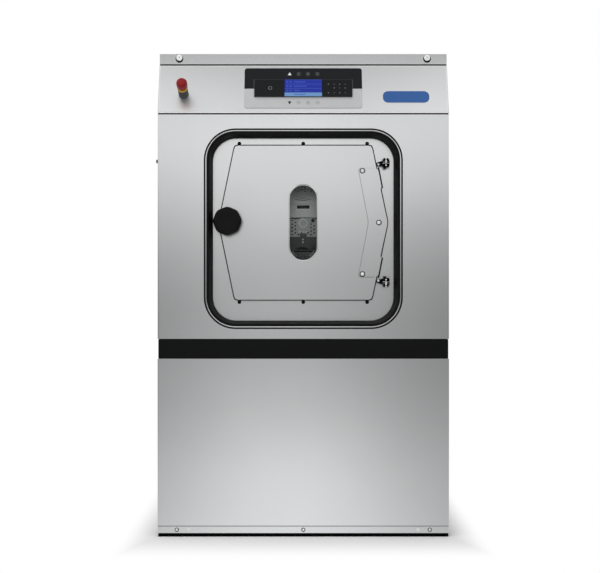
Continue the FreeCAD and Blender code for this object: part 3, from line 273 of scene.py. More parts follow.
dimInk = printedFilm("screen_ink_dim", "#6A6E70", "#5C6062", 0.45)
midInk = printedFilm("screen_ink_mid_grey", "#8E9092", "#828486", 0.45)
screenBlue = printedFilm("lcd_panel_backlit_blue", "#152B96", "#11258C", 0.3, 0.15)
screenLine = printedFilm("lcd_segment_mid_blue", "#4059B8", "#3850AC", 0.25, 0.15)
screenPale = printedFilm("lcd_row_backlit_pale", "#658DBA", "#5F86B4", 0.25, 0.15)
windowGlass = toughenedGlass("glass_toughened_clear")
print("materials ready:", len(bpy.data.materials))

bodyOf = {node: body for body, nodes in frame["record"]["behaviour"]["bodies"].items() for node in nodes}


def finishPiece(name, bm, material, body, hides=(), turn=asIs, crease=32):
    mesh = bpy.data.meshes.new(name)
    bmesh.ops.recalc_face_normals(bm, faces=bm.faces)
    bm.to_mesh(mesh)
    bm.free()
    mesh.transform(turn)
    for item in material if isinstance(material, list) else [material]:
        mesh.materials.append(item)
    mesh.shade_smooth()
    if crease:
        mesh.set_sharp_from_angle(angle=radians(crease))
    piece = bpy.data.objects.new(name, mesh)
    scene.collection.objects.link(piece)
    if body:
        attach(piece, body)
        piece.modifiers.new("flatFaces", "WEIGHTED_NORMAL").keep_sharp = True  # flat beside rolled edges
    if hides:
        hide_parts(*hides)
    return piece


rolling = {"mergeMm": 0.002, "flatDeg": 0.4, "sharpDeg": 40.0, "sideMm": 0.1, "foldZoneMm": 62.0}


# a CAD node's shape with its edges rolled: upright outer folds by foldMm, all other edges by edgeMm
def dressed(node, material, edgeMm=1.2, foldMm=0.0, steps=3, turn=asIs, name=None, body=None, hides=None):
    bm = bmesh.new()
    bm.from_mesh(frame["nodes"][node].data)
    bmesh.ops.remove_doubles(bm, verts=bm.verts, dist=rolling["mergeMm"] * mm)
    bmesh.ops.dissolve_limit(bm, angle_limit=radians(rolling["flatDeg"]), verts=bm.verts, edges=bm.edges)
    widest = max(edgeMm, foldMm)
    low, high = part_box(node)
    outside = 1 if high.y > -low.y else -1
    foldFrom = max(abs(low.y), abs(high.y)) - rolling["foldZoneMm"] * mm
    weights = bm.edges.layers.float.new("bevel_weight_edge")
    for edge in bm.edges:
        if len(edge.link_faces) != 2 or edge.calc_face_angle(0) < radians(rolling["sharpDeg"]):
            continue
        ends = [vert.co for vert in edge.verts]
        upright = abs(ends[0].z - ends[1].z) > 0.9 * (ends[0] - ends[1]).length
        corner = all(min(p.x - low.x, high.x - p.x) < rolling["sideMm"] * mm for p in ends)
        outer = all(p.y * outside > foldFrom for p in ends)
        edge[weights] = 1.0 if foldMm and upright and corner and outer else edgeMm / widest
    piece = finishPiece(name or f"{node}_sheet", bm, material, body or bodyOf[node], hides or [node], turn, 0)
    rolled = piece.modifiers.new("rolledEdges", "BEVEL")
    rolled.width = widest * mm
    rolled.segments = steps
    rolled.limit_method = "WEIGHT"
    piece.modifiers.move(1, 0)
    return piece


def bridge(bm, low, high, paint=0):
    if len(low) == 1 and len(high) == 1:
        return
    count = max(len(low), len(high))
    for k in range(count):
        after = (k + 1) % count
        corners = [low[k % len(low)], low[after % len(low)], high[after % len(high)], high[k % len(high)]]
        kept = [v for i, v in enumerate(corners) if v not in corners[:i]]
        bm.faces.new(kept).material_index = paint


# joins each loop to the next, and the last to the first or else caps both ends; paint may be a slot per loop
def joinLoops(bm, loops, ring=False, paint=0):
    paints = paint if isinstance(paint, list) else [paint] * len(loops)
    for low, high, slot in zip(loops, loops[1:] + loops[:1 if ring else 0], paints):
        bridge(bm, low, high, slot)
    for end in () if ring else (0, -1):
        if len(loops[end]) > 1:
            bm.faces.new(loops[end]).material_index = paints[end]


# a skin through a stack of rows, each a flat outline and its height, which toWorld places
def stacked(bm, rows, toWorld, ring=False, paint=0):
    loops = [[bm.verts.new(toWorld(a, b, height)) for a, b in outline] for outline, height in rows]
    joinLoops(bm, loops, ring, paint)


# places flat outlines about a spot: their two numbers run along first and second, and their height along rise
def plane(spot, first, second, rise):
    return lambda a, b, height: spot + (first * a + second * b + rise * height) * mm


origin = Vector((0, 0, 0))


def dropCaps(bm):
    bmesh.ops.delete(bm, geom=[face for face in bm.faces if len(face.verts) > 4], context="FACES")


# turned pieces: each row of the profile is radius and height in mm, with a third number for that many flats
def lathe(bm, profile, centre, axis, turns=32, paint=0):
    axis = Vector(axis).normalized()
    side = axis.orthogonal().normalized()
    rings = []
    for radius, height, *flats in profile:
        spot = Vector(centre) + axis * height * mm
        ring = []
        for k in range(turns if radius else 1):
            angle = 2 * pi * k / turns
            reach = radius * mm
            if flats:
                reach *= cos(pi / flats[0]) / cos(angle % (2 * pi / flats[0]) - pi / flats[0])
            ring.append(bm.verts.new(spot + Matrix.Rotation(angle, 3, axis) @ side * reach))
        rings.append(ring)
    joinLoops(bm, rings, False, paint)


def buttonHead(radius, rise, socket):
    return [(radius, 0), (radius, rise * 0.25), (radius * 0.9, rise * 0.62), (radius * 0.66, rise * 0.92),
            (socket * 1.1, rise), (socket, rise, 6), (socket, rise * 0.35, 6), (0, rise * 0.3)]


# points round an upright rounded rectangle, as x and z in mm about its middle
def roundedLoop(width, height, corner, steps=10):
    corner = max(corner, 0.01)
    loop = []
    for quarter, (sx, sz) in enumerate(((1, 1), (-1, 1), (-1, -1), (1, -1))):
        for k in range(steps + 1):
            angle = (quarter + k / steps) * pi / 2
            loop.append((sx * (width / 2 - corner) + corner * cos(angle),
                         sz * (height / 2 - corner) + corner * sin(angle)))
    return loop


# a frame round a rounded opening: its cross-section's rows are inset and depth behind a face, in mm
def frameRing(bm, section, size, middle, face, steps, paint=0):
    width, height, corner = size
    rows = [(roundedLoop(width - 2 * inset, height - 2 * inset, corner - inset, steps), depth)
            for inset, depth in section]
    stacked(bm, rows, plane(Vector((0, face * mm, middle)), toRight, toTop, toBack), True, paint)


# a flat outline given as x and second-axis pairs, raised between two heights on a plane
def raisedOutline(bm, outline, toWorld, low, high, paint=0, chamfer=0.0):
    cx = sum(p[0] for p in outline) / len(outline)
    cu = sum(p[1] for p in outline) / len(outline)
    rows = [(1.0, low), (1.0, high)]
    if chamfer:
        reach = max(hypot(p[0] - cx, p[1] - cu) for p in outline)
        rows = [(1.0, low), (1.0, high - chamfer), (1.0 - chamfer / reach, high)]
    rows = [([(cx + (x - cx) * share, cu + (u - cu) * share) for x, u in outline], height)
            for share, height in rows]
    stacked(bm, rows, toWorld, False, paint)


def roundLoop(x, u, radius, sides):
    turns = [2 * pi * k / sides for k in range(sides)]
    return [(x + radius * cos(t), u + radius * sin(t)) for t in turns]


def boxLoop(left, right, low, high):
    return [(left, low), (right, low), (right, high), (left, high)]


def roundedBox(left, right, low, high, corner, steps):
    outline = roundedLoop(right - left, high - low, corner, steps)
    return [(x + (left + right) / 2, u + (low + high) / 2) for x, u in outline]


quarter = [radians(22.5 * k) for k in range(5)]


# a flat sheet with a rounded opening; its side edges are rolled by foldMm, the others by edgeMm
def openedSheet(bm, sheet):
    outer, hole, level, holeLevel = sheet["sizeMm"], sheet["holeMm"], sheet["levelMm"], sheet["holeLevelMm"]
    face, back, fold, edge = sheet["faceMm"], sheet["backMm"], sheet["foldMm"], sheet["edgeMm"]
    rows = [(*hole, holeLevel, back)]
    for a in quarter:
        grow = edge * (1 - cos(a))
        size = (hole[0] + 2 * grow, hole[1] + 2 * grow, hole[2] + grow)
        rows.append((*size, holeLevel, face + edge * (1 - sin(a))))
    for a in reversed(quarter):
        drop = 1 - cos(a)
        size = (outer[0] - 2 * fold * drop, outer[1] - 2 * edge * drop, max(outer[2] - edge * drop, 1.0))
        rows.append((*size, level, face + fold * (1 - sin(a))))
    rows.append((*outer, level, back))
    skin = []
    for width, height, corner, middle, depth in rows:
        skin.append(([(x, middle + z) for x, z in roundedLoop(width, height, corner, 16)], depth))
    stacked(bm, skin, plane(origin, toRight, toTop, toBack), True)


# a hoop round the cabinet, level all round: its rows are inset and height
def hoop(bm, rows, width, depth, corner, steps):
    skin = [(roundedLoop(width - 2 * inset, depth - 2 * inset, corner, steps), height)
            for inset, height in rows]
    stacked(bm, skin, plane(origin, toRight, toBack, toTop), True)


# cabinet sheets
cabinet = {"foldMm": 5.0, "edgeMm": 1.2, "plinthEdgeMm": 1.5, "lidFoldMm": 4.0, "frameEdgeMm": 3.0}
frontSheet = {"sizeMm": (980.0, 760.0, 1.5), "levelMm": 1044.0, "holeMm": (650.0, 655.0, 97.0),
              "holeLevelMm": 1035.0, "faceMm": -430.0, "backMm": -424.0, "foldMm": 5.0, "edgeMm": 1.2}
fold, edge = cabinet["foldMm"], cabinet["edgeMm"]
for node in ("front_lower_panel", "rear_upper_panel", "rear_lower_panel"):
    dressed(node, satinSteel, edge, fold)
bm = bmesh.new()
openedSheet(bm, frontSheet)
finishPiece("front_upper_panel_sheet", bm, satinSteel, "cabinet", ["front_upper_panel"])
for node in ("upper_side_panels", "lower_side_panels"):
    dressed(node, satinSteel, edge)
dressed("control_panel", slopeSteel, edge, fold)
dressed("top_cover", satinSteel, edge, cabinet["lidFoldMm"])
band = {"widthMm": 975.8, "depthMm": 855.8, "cornerMm": 4.0,
        "rowsMm": ((3.0, 598.1), (0.6, 599.2), (0.0, 601.5), (0.0, 660.5), (0.6, 662.8), (3.0, 663.9),
                   (9.0, 663.9), (9.0, 598.1))}
bm = bmesh.new()
hoop(bm, band["rowsMm"], band["widthMm"], band["depthMm"], band["cornerMm"], 5)
finishPiece("belt_band_moulded", bm, bandPlastic, "cabinet", ["belt_band"])
dressed("plinth_strips", plinthSteel, cabinet["plinthEdgeMm"], fold)
dressed("cabinet_frame", framePaint, cabinet["frameEdgeMm"])
# black foam strips round the plinth: one in the joint above it, and one filling the gap under it as painted
# shadow beneath the machine
skirt = {"widthMm": 980.0, "depthMm": 860.0, "cornerMm": 3.0, "jointMm": (1.5, 9.0, 35.05, 36.45),
         "underShadeMm": (2.0, 11.0, 0.3, 12.2)}
bm = bmesh.new()
for outer, inner, low, high in (skirt["jointMm"], skirt["underShadeMm"]):
    rows = [(outer, low), (outer, high), (inner, high), (inner, low)]
    hoop(bm, rows, skirt["widthMm"], skirt["depthMm"], skirt["cornerMm"], 4)
finishPiece("plinth_seal_and_shade_strips", bm, foamStrip, "cabinet")
seams = {"halfMm": 487.5, "easeMm": 0.8, "panelMm": (-430.6, -424.0, 1418.7, 1423.6),
         "lidMm": (-371.4, -358.3, 1593.0, 1597.9), "panelGlintMm": (-430.8, -424.0, 1423.6, 1426.8),
         "lidGlintMm": (-371.6, -358.3, 1590.6, 1593.0)}
# black beads in the slope's two seams, each with a thin pale lip along it that paints the highlight of the
# rolled edge beside the seam
bm = bmesh.new()
for bead, paint in (("panelMm", 0), ("lidMm", 0), ("panelGlintMm", 1), ("lidGlintMm", 1)):
    front, back, low, high = seams[bead]
    ease = seams["easeMm"]
    outline = [(front + ease, low), (back, low), (back, high), (front + ease, high), (front, high - ease),
               (front, low + ease)]
    raisedOutline(bm, outline, plane(origin, toBack, toTop, toRight), -seams["halfMm"], seams["halfMm"],
                  paint)
finishPiece("seam_rubber_beads", bm, [gasketRubber, nickelFace], "cabinet")
print("cabinet sheets done")

# feet: ribbed rubber pads under zinc studs with a lock nut
feet = {"padMm": 22.0, "studMm": 8.0, "studTopMm": 48.0, "nutMm": 13.0}
footLow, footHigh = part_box("levelling_feet")
pad, stud, nut, top = feet["padMm"], feet["studMm"], feet["nutMm"], feet["studTopMm"]
bm = bmesh.new()
for x in (footLow.x + pad * mm, footHigh.x - pad * mm):
    for y in (footLow.y + pad * mm, footHigh.y - pad * mm):
        lathe(bm, [(0, 0), (pad - 1.5, 0), (pad, 1.2), (pad, 4.5), (pad - 3, 5.6), (pad - 3, 6.4),
                   (12, 8.0), (0, 8.0)], (x, y, 0), toTop, 36, 0)
        lathe(bm, [(nut, 8.0, 6), (nut, 11.8, 6), (stud, 11.9), (stud, top), (0, top)], (x, y, 0),
              toTop, 36, 1)
finishPiece("levelling_feet_turned", bm, [gasketRubber, zincPlate], "cabinet", ["levelling_feet"])

# screws on the plinth and the two sides; the plinth screws' pale heads paint their highlights
screws = {"boltMm": 7.0, "boltRiseMm": 4.0, "smallMm": 4.4, "smallRiseMm": 2.0, "sideRiseMm": 5.5,
          "boltSpreadMm": 850.0, "smallSpreadMm": 772.0, "plinthMm": 23.5, "sideLevelMm": 1262.0,
          "sideDepthMm": 418.0}
bolt = screws["boltMm"]
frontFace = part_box("front_lower_panel")[0].y
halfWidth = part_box("front_lower_panel")[1].x
bm = bmesh.new()
for x in (-0.5, 0, 0.5):
    spot = (x * screws["boltSpreadMm"] * mm, frontFace, screws["plinthMm"] * mm)
    lathe(bm, [(bolt, 0), (bolt, 0.8), (bolt - 0.8, 1.2), (0, 1.2)], spot, -toBack, 30, 1)
    lathe(bm, buttonHead(bolt - 2.4, screws["boltRiseMm"], 2.0), spot, -toBack, 30)
for x in (-0.5, 0.5):
    spot = (x * screws["smallSpreadMm"] * mm, frontFace, screws["plinthMm"] * mm)
    lathe(bm, buttonHead(screws["smallMm"], screws["smallRiseMm"], 1.5), spot, -toBack, 24, 0)
for side in (-1, 1):
    spot = (side * halfWidth, side * screws["sideDepthMm"] * mm, screws["sideLevelMm"] * mm)
    lathe(bm, buttonHead(bolt, screws["sideRiseMm"], 3.2), spot, toRight * side, 30, 1)
finishPiece("panel_screws_turned", bm, [nickelFace, blackScrew], "cabinet", ["panel_screws"])
print("feet and screws done")


def bothSides(bm):
    copy = bmesh.ops.duplicate(bm, geom=bm.verts[:] + bm.edges[:] + bm.faces[:])
    moved = [item for item in copy["geom"] if isinstance(item, bmesh.types.BMVert)]
    bmesh.ops.transform(bm, matrix=halfTurn, verts=moved)


# lid locks: a plated face in a dark collar, with a key slot, a barrel and a flat cam; the face is near white,
# partly painted highlight
locks = {"collarMm": 13.0, "faceMm": 10.2, "liftMm": 1.4, "sinkMm": 1.6, "riseMm": 4.0,
         "slotMm": (2.2, 5.0), "barrelMm": 9.0, "barrelLengthMm": 20.0, "camMm": (34.0, 12.0, 3.0),
         "slotRiseMm": 3.2}
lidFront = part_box("top_cover")[0].y
collars = bmesh.new()
for side, node in ((-1, "lock_left"), (1, "lock_right")):
    low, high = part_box(node)
    collar, face, rise = locks["collarMm"], locks["faceMm"], locks["riseMm"]
    centre = Vector((low.x + collar * mm if side < 0 else high.x - collar * mm, lidFront,
                     (low.z + high.z) / 2))
    bm = bmesh.new()
    lathe(collars, [(collar, 0), (collar, 1.4), (collar - 0.8, 2.0), (collar - 2.0, 2.2),
                    (collar - 2.4, 0.3)], centre - Vector((0, 0, locks["sinkMm"] * mm)), -toBack, 40)
    lathe(bm, [(face, 0.7), (face, 3.0), (face - 0.9, 3.7), (face - 3.0, rise), (0, rise)],
          centre + Vector((0, 0, locks["liftMm"] * mm)), -toBack, 40, 1)
    wide, tall = locks["slotMm"]
    slot = roundedLoop(wide, tall, wide / 2, 4)
    raisedOutline(bm, slot, plane(centre + toTop * locks["slotRiseMm"] * mm, toRight, toTop, -toBack),
                  rise - 1.0, rise + 0.02, 0)
    barrel, end = locks["barrelMm"], locks["barrelLengthMm"]
    lathe(bm, [(barrel, 0), (barrel, -end + 3), (6, -end + 3)], centre, -toBack, 32, 1)
    length, height, sheet = locks["camMm"]
    cam = roundedLoop(length + 12, height, height / 2 - 0.1, 6)
    cam = [(min(max(x * -side + length / 2 * -side, -length), length), z) for x, z in cam]
    raisedOutline(bm, cam, plane(centre, toRight, toTop, toBack), end - sheet, end, 2)
    finishPiece(f"{node}_cylinder", bm, [blackScrew, nickelFace, zincPlate], node, [node])
finishPiece("lid_lock_collars", collars, knobPlastic, "lid")
print("lid locks done")

# control fascia on the slope: u runs up the slope and w stands out from it, all in mm
slope = {"backMm": 62.0, "riseMm": 173.0}
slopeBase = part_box("control_panel")[0].z
lean = atan2(slope["backMm"], slope["riseMm"])


def slopeSpot(x, u, w):
    back, rise = u * sin(lean) - w * cos(lean), u * cos(lean) + w * sin(lean)
    return Vector((x * mm, frontFace + back * mm, slopeBase + rise * mm))


def slopePlate(bm, left, right, low, high, corner, base, top, paint=0, chamfer=0.0):
    raisedOutline(bm, roundedBox(left, right, low, high, corner, 6), slopeSpot, base, top, paint, chamfer)


def slopeDisc(bm, x, u, radius, base, top, paint, sides=20):
    raisedOutline(bm, roundLoop(x, u, radius, sides), slopeSpot, base, top, paint)


def slopeRing(bm, x, u, outer, inner, top, paint, sides=24):
    rows = ((inner, top - 0.2), (inner, top), (outer, top), (outer, top - 0.2))
    stacked(bm, [(roundLoop(x, u, radius, sides), w) for radius, w in rows], slopeSpot, True, paint)


fascia = {"halfMm": 199.0, "lowMm": 16.1, "splitMm": 88.1, "highMm": 166.5, "cornerMm": 9.0, "thickMm": 3.0,
          "iconRowsMm": (35.5, 144.5), "iconColumnsMm": (-46.0, -15.5, 16.0, 48.0), "inkMm": 0.12}
half, corner, thick = fascia["halfMm"], fascia["cornerMm"], fascia["thickMm"]
bm = bmesh.new()
whole = roundedLoop(2 * half, fascia["highMm"] - fascia["lowMm"], corner, 6)
middle = (fascia["highMm"] + fascia["lowMm"]) / 2
leftEnd, rightEnd = (-half, fascia["splitMm"]), (half, fascia["splitMm"])
upper = [(x, u + middle) for x, u in whole if u > 0] + [leftEnd, rightEnd]
lower = [leftEnd] + [(x, u + middle) for x, u in whole if u < 0] + [rightEnd]
raisedOutline(bm, upper, slopeSpot, 0.0, thick, 0)
raisedOutline(bm, lower, slopeSpot, 0.0, thick, 1)
inkTop = thick + fascia["inkMm"]
lowRow, highRow = fascia["iconRowsMm"]
upX = fascia["iconColumnsMm"][0]
upArrow = [(upX - 6.2, highRow - 4.6), (upX + 6.2, highRow - 4.6), (upX, highRow + 6.4)]
downArrow = [(upX - 6.2, lowRow + 4.6), (upX, lowRow - 6.4), (upX + 6.2, lowRow + 4.6)]
raisedOutline(bm, upArrow, slopeSpot, thick, inkTop, 2)
raisedOutline(bm, downArrow, slopeSpot, thick, inkTop, 3)
for k, x in enumerate(fascia["iconColumnsMm"][1:]):
    for row, paint in ((highRow, 4), (lowRow, 5)):
        slopeRing(bm, x, row, 6.4, 5.2, inkTop, paint)
        if k == 0:  # a play mark
            play = [(x - 1.8, row - 3.2), (x + 3.2, row), (x - 1.8, row + 3.2)]
            raisedOutline(bm, play, slopeSpot, thick, inkTop, paint)
        elif k == 1:  # a stop mark
            slopePlate(bm, x - 2.4, x + 2.4, row - 2.4, row + 2.4, 0.4, thick, inkTop, paint)
        else:  # a pause mark
            slopePlate(bm, x - 2.6, x - 0.8, row - 2.8, row + 2.8, 0.3, thick, inkTop, paint)
            slopePlate(bm, x + 0.8, x + 2.6, row - 2.8, row + 2.8, 0.3, thick, inkTop, paint)
finishPiece("control_fascia_film", bm, [blackFilm, greyFilm, whiteInk, blackInk, dimInk, midInk], "cabinet",
            ["control_fascia"])

module = {"halfMm": 165.5, "lowMm": 56.7, "highMm": 120.0, "topMm": 8.0, "lipMm": 2.6,
          "ringMm": (-112.0, 88.3), "keyColumnsMm": (85.0, 104.5, 123.0, 141.5),
          "keyRowsMm": (102.9, 88.5, 70.2), "keyMm": 1.6}
half, low, high, top = module["halfMm"], module["lowMm"], module["highMm"], module["topMm"]
bm = bmesh.new()
slopePlate(bm, -half, half, low, high, 1.5, thick, top, 0, 0.8)
lip = module["lipMm"]
slopePlate(bm, -half - lip, half + lip, high, high + lip, 0.4, thick, thick + 1.2, 1)
for side in (-1, 1):
    x = sorted((side * half, side * (half + lip)))
    slopePlate(bm, x[0], x[1], fascia["splitMm"], high, 0.4, thick, thick + 1.2, 1)
ringX, ringU = module["ringMm"]
slopeRing(bm, ringX, ringU, 7.0, 4.6, top + 0.15, 2)
for row, u in enumerate(module["keyRowsMm"]):
    for column, x in enumerate(module["keyColumnsMm"]):
        if (row, column) != (1, 0):
            slopeDisc(bm, x, u, module["keyMm"], top, top + 0.15, 3 if (row + column) % 2 == 0 else 4, 14)
finishPiece("display_module_bezel", bm, [bezelPlastic, bezelLip, dimInk, midInk, dimInk], "cabinet",
            ["display_module"])

screen = {"halfMm": 63.0, "lowMm": 56.7, "paleTopMm": 70.6, "highMm": 120.0, "topMm": 9.0,
          "rowsMm": (78.1, 94.6, 111.1), "barsMm": (22.0, 44.0, 36.0), "paleBarMm": (61.6, 65.6)}
half, top = screen["halfMm"], screen["topMm"]
bm = bmesh.new()
slopePlate(bm, -half, half, screen["paleTopMm"], screen["highMm"], 0.3, module["topMm"], top - 0.1, 0)
slopePlate(bm, -half, half, screen["lowMm"], screen["paleTopMm"], 0.3, module["topMm"], top - 0.05, 1)
for u, bar in zip(screen["rowsMm"], screen["barsMm"]):
    slopePlate(bm, -half + 2, half - 2, u + 7.4, u + 8.6, 0.2, top - 0.1, top, 2)
    for x in (-54.0, -43.0):
        slopePlate(bm, x - 2.6, x + 2.6, u - 2.6, u + 2.6, 0.5, top - 0.1, top, 2)
    for k in range(ceil(bar / 5.5)):
        slopePlate(bm, -31 + 5.5 * k, -27 + 5.5 * k, u - 2.0, u + 2.0, 0.5, top - 0.1, top, 2)
for k in range(7):
    slopePlate(bm, -31 + 5.5 * k, -27 + 5.5 * k, *screen["paleBarMm"], 0.5, top - 0.05, top, 3)
finishPiece("display_screen_lcd", bm, [screenBlue, screenPale, screenLine, screenLine], "cabinet",
            ["display_screen"])

badge = {"sidesMm": (268.0, 426.0), "levelsMm": (36.0, 80.5), "cornerMm": 19.0, "riseMm": 2.2, "rimMm": 0.8}
(left, right), (low, high), corner = badge["sidesMm"], badge["levelsMm"], badge["cornerMm"]
rim = badge["rimMm"]
bm = bmesh.new()
slopePlate(bm, left, right, low, high, corner, 0.0, 1.6, 0, 0.5)
slopePlate(bm, left + rim, right - rim, low + rim, high - rim, corner - rim, 1.4, badge["riseMm"], 1, 0.3)
finishPiece("badge_plate_blank", bm, [brightSteel, badgeEnamel], "cabinet")
print("fascia done")

# emergency stop: turned parts standing on the slope
estop = {"sideMm": -404.0, "upMm": 68.0, "baseMm": 16.9, "collarMm": 17.6, "capMm": 18.3}
spot = slopeSpot(estop["sideMm"], estop["upMm"], 0.0)
outward = (slopeSpot(0, 0, 1) - slopeSpot(0, 0, 0)).normalized()
bm = bmesh.new()
base = estop["baseMm"]
rows = [(base, 0), (base, 4), (base - 0.9, 5), (base - 0.9, 11)]
for k in range(5):
    rows += [(base - 0.2, 12 + 5 * k), (base - 0.2, 15 + 5 * k), (base - 1.1, 15.6 + 5 * k),
             (base - 1.1, 16.4 + 5 * k)]
lathe(bm, rows + [(base, 40), (base, 44.4), (base - 0.6, 45), (10.4, 45), (10.4, 31), (0, 31)], spot,
      outward, 48)
finishPiece("estop_base_turned", bm, greyPlastic, "cabinet", ["estop_base"])
bm = bmesh.new()
collar = estop["collarMm"]
lathe(bm, [(10.4, 45), (collar - 1.2, 45), (collar, 46.2), (collar, 51.4), (collar - 1.4, 53), (10.4, 53),
           (10.4, 45.1)], spot, outward, 48)
finishPiece("estop_collar_turned", bm, yellowPlastic, "cabinet", ["estop_collar"])
bm = bmesh.new()
cap = estop["capMm"]
lathe(bm, [(0, 38), (10, 38), (10, 58.6), (14.5, 59), (cap - 1.6, 60.2), (cap - 0.4, 62.5), (cap, 66),
           (cap, 77), (cap - 0.7, 81.5), (cap - 2.6, 85.4), (cap - 5.6, 87.7), (cap - 9, 88.6), (0, 89)],
      spot, outward, 56)
finishPiece("estop_button_turned", bm, redPlastic, "estop", ["estop_button"])
print("emergency stop done")

# door openings: bright rolled trims, and rubber frames that join the cabinet to the floating tub
opening = {"sizeMm": (650.6, 655.6, 97.3), "levelMm": 1035.0, "faceMm": -430.0, "tubMm": -362.3}
level = opening["levelMm"] * mm
face = opening["faceMm"]
deep = opening["tubMm"] - face
trimRows = [(0.0, 0), (0.0, -1.2), (-0.6, -1.8), (-1.6, -2.0), (-3.2, -2.0), (-3.9, -1.4), (-3.9, 0)]
# black outer lip round each trim: painted shadow in the gap at its edge
edgingRows = [(-3.9, 0.3), (-3.9, -1.0), (-4.6, -1.6), (-8.2, -1.6), (-9.2, -0.9), (-9.2, 0.3)]
bm = bmesh.new()
frameRing(bm, trimRows, opening["sizeMm"], level, face, 16)
frameRing(bm, edgingRows, opening["sizeMm"], level, face, 16, 1)
bothSides(bm)
finishPiece("door_trims_rolled", bm, [brightSteel, gasketRubber], "cabinet", ["door_trims"], crease=50)
gasketRows = [(1.0, -0.4), (1.6, -1.4), (3.4, -1.9), (6.0, -1.6), (7.6, 0.4), (8.2, 4), (9.6, 9), (8.6, 14),
              (8.4, 19), (10.6, 25), (12.4, 31), (11.2, 36), (11.0, 42), (13.0, 48), (15.0, 54), (15.4, 59),
              (16.6, 63), (17.4, deep - 0.8), (17.4, deep), (9.0, deep), (9.0, deep - 2.4),
              (13.4, deep - 3.0), (11.4, 55), (8.0, 38), (5.0, 22), (3.0, 9.4), (-20.0, 9.4), (-20.0, 6.4),
              (1.0, 6.4)]
for name, turn, side in (("front", asIs, 1), ("rear", halfTurn, -1)):
    bm = bmesh.new()
    frameRing(bm, gasketRows, opening["sizeMm"], level, face, 16)
    gasket = finishPiece(f"{name}_door_gasket", bm, gasketRubber, None, ["door_bellows"], turn, 50)
    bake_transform(gasket)
print("openings done")

# tub face behind each door
keeper = {"postMm": (-302.0, -292.0), "postBackMm": -361.9, "lipMm": (-302.0, -287.5), "lipFrontMm": -395.0,
          "lipBackMm": -389.0, "levelMm": 1061.0, "tallMm": 24.0}
tubSheet = {"sizeMm": (636.0, 641.0, 88.0), "levelMm": 1035.0, "holeMm": (450.0, 410.0, 6.0),
            "holeLevelMm": 1058.0, "faceMm": -362.0, "backMm": -358.0, "foldMm": 1.0, "edgeMm": 1.0}
bm = bmesh.new()
openedSheet(bm, tubSheet)
for (left, right), back in ((keeper["postMm"], keeper["postBackMm"]), (keeper["lipMm"], keeper["lipBackMm"])):
    outline = roundedBox(left, right, -keeper["tallMm"] / 2, keeper["tallMm"] / 2, 1.2, 4)
    spot = toTop * keeper["levelMm"] * mm
    raisedOutline(bm, outline, plane(spot, toRight, toTop, -toBack), -back, -keeper["lipFrontMm"], 0, 0.8)
bothSides(bm)
finishPiece("tub_plates_pressed", bm, satinSteel, "tub", ["tub_plates"])
plateScrews = {"radiusMm": 6.5, "riseMm": 3.5, "sidesMm": (-218.0, 0.0, 218.0), "riseFromAxisMm": 270.5}
bm = bmesh.new()
for x in plateScrews["sidesMm"]:
    for side in (-1, 1):
        spot = (x * mm, tubSheet["faceMm"] * mm, axis.z + side * plateScrews["riseFromAxisMm"] * mm)
        lathe(bm, buttonHead(plateScrews["radiusMm"], plateScrews["riseMm"], 2.8), spot, -toBack, 28)
bothSides(bm)
finishPiece("plate_screws_turned", bm, blackScrew, "tub", ["plate_screws"])
hinge = {"sideMm": 281.0, "lineMm": -381.0, "riseMm": 200.5, "barrelMm": 9.0, "tipMm": (277.0, 5.0),
         "earsMm": (13.4, 18.0), "footMm": (268.0, 294.0, 17.5), "knuckleMm": 12.6, "highlightMm": 2.6,
         "earBackMm": -366.0, "footDepthsMm": (361.8, 366.4)}


# hinge ear seen from above: round in front, square behind
def earLoop(x, reach, back):
    turns = [radians(12 * k) for k in range(16)]
    nose = [(x + reach * cos(t), hinge["lineMm"] - reach * sin(t)) for t in turns]
    return [(x + reach, back)] + nose + [(x - reach, back)]


# half-round pale strip down the front of a barrel: a painted highlight
def barrelBead(bm, centre, reach, low, high, paint):
    bead = hinge["highlightMm"]
    low, high = sorted((low, high))
    lathe(bm, [(0, low), (bead - 0.6, low), (bead, low + 0.6), (bead, high - 0.6), (bead - 0.6, high),
               (0, high)], centre + Vector((hinge["sideMm"], hinge["lineMm"] - reach + 0.6, 0)) * mm,
          toTop, 16, paint)


# hinge brackets on the tub: dark ears that paint a chrome hinge's dark reflections, and a pale strip of
# painted highlight down each barrel
bm = bmesh.new()
for side in (-1, 1):
    centre = axis + Vector((0, 0, side * hinge["riseMm"] * mm))
    left, right, tall = hinge["footMm"]
    foot = roundedBox(left, right, -tall, tall, 3.0, 4)
    raisedOutline(bm, foot, plane(centre, toRight, toTop, -toBack), *hinge["footDepthsMm"], 2, 1.0)
    low, high = hinge["earsMm"]
    for end, (x, reach) in ((1, (hinge["sideMm"], hinge["barrelMm"])), (-1, hinge["tipMm"])):
        bottom, top = sorted((side * end * low, side * end * high))
        raisedOutline(bm, earLoop(x, reach, hinge["earBackMm"]), plane(centre, toRight, toBack, toTop),
                      bottom, top, 0, 0.8)
    barrelBead(bm, centre, hinge["barrelMm"], side * (low + 0.2), side * (high - 0.2), 1)
bothSides(bm)
finishPiece("hinge_brackets_eared", bm, [blackSteel, nickelFace, satinSteel], "tub", ["hinge_brackets"])
print("tub face done")


# knob outline: eight soft lobes about its spindle
def knobLoop(share, outer, dip, lobes=8, turns=96):
    loop = []
    for k in range(turns):
        angle = 2 * pi * k / turns
        reach = (outer - dip * (1 - cos(lobes * angle)) / 2) * share
        loop.append((reach * cos(angle), reach * sin(angle)))
    return loop


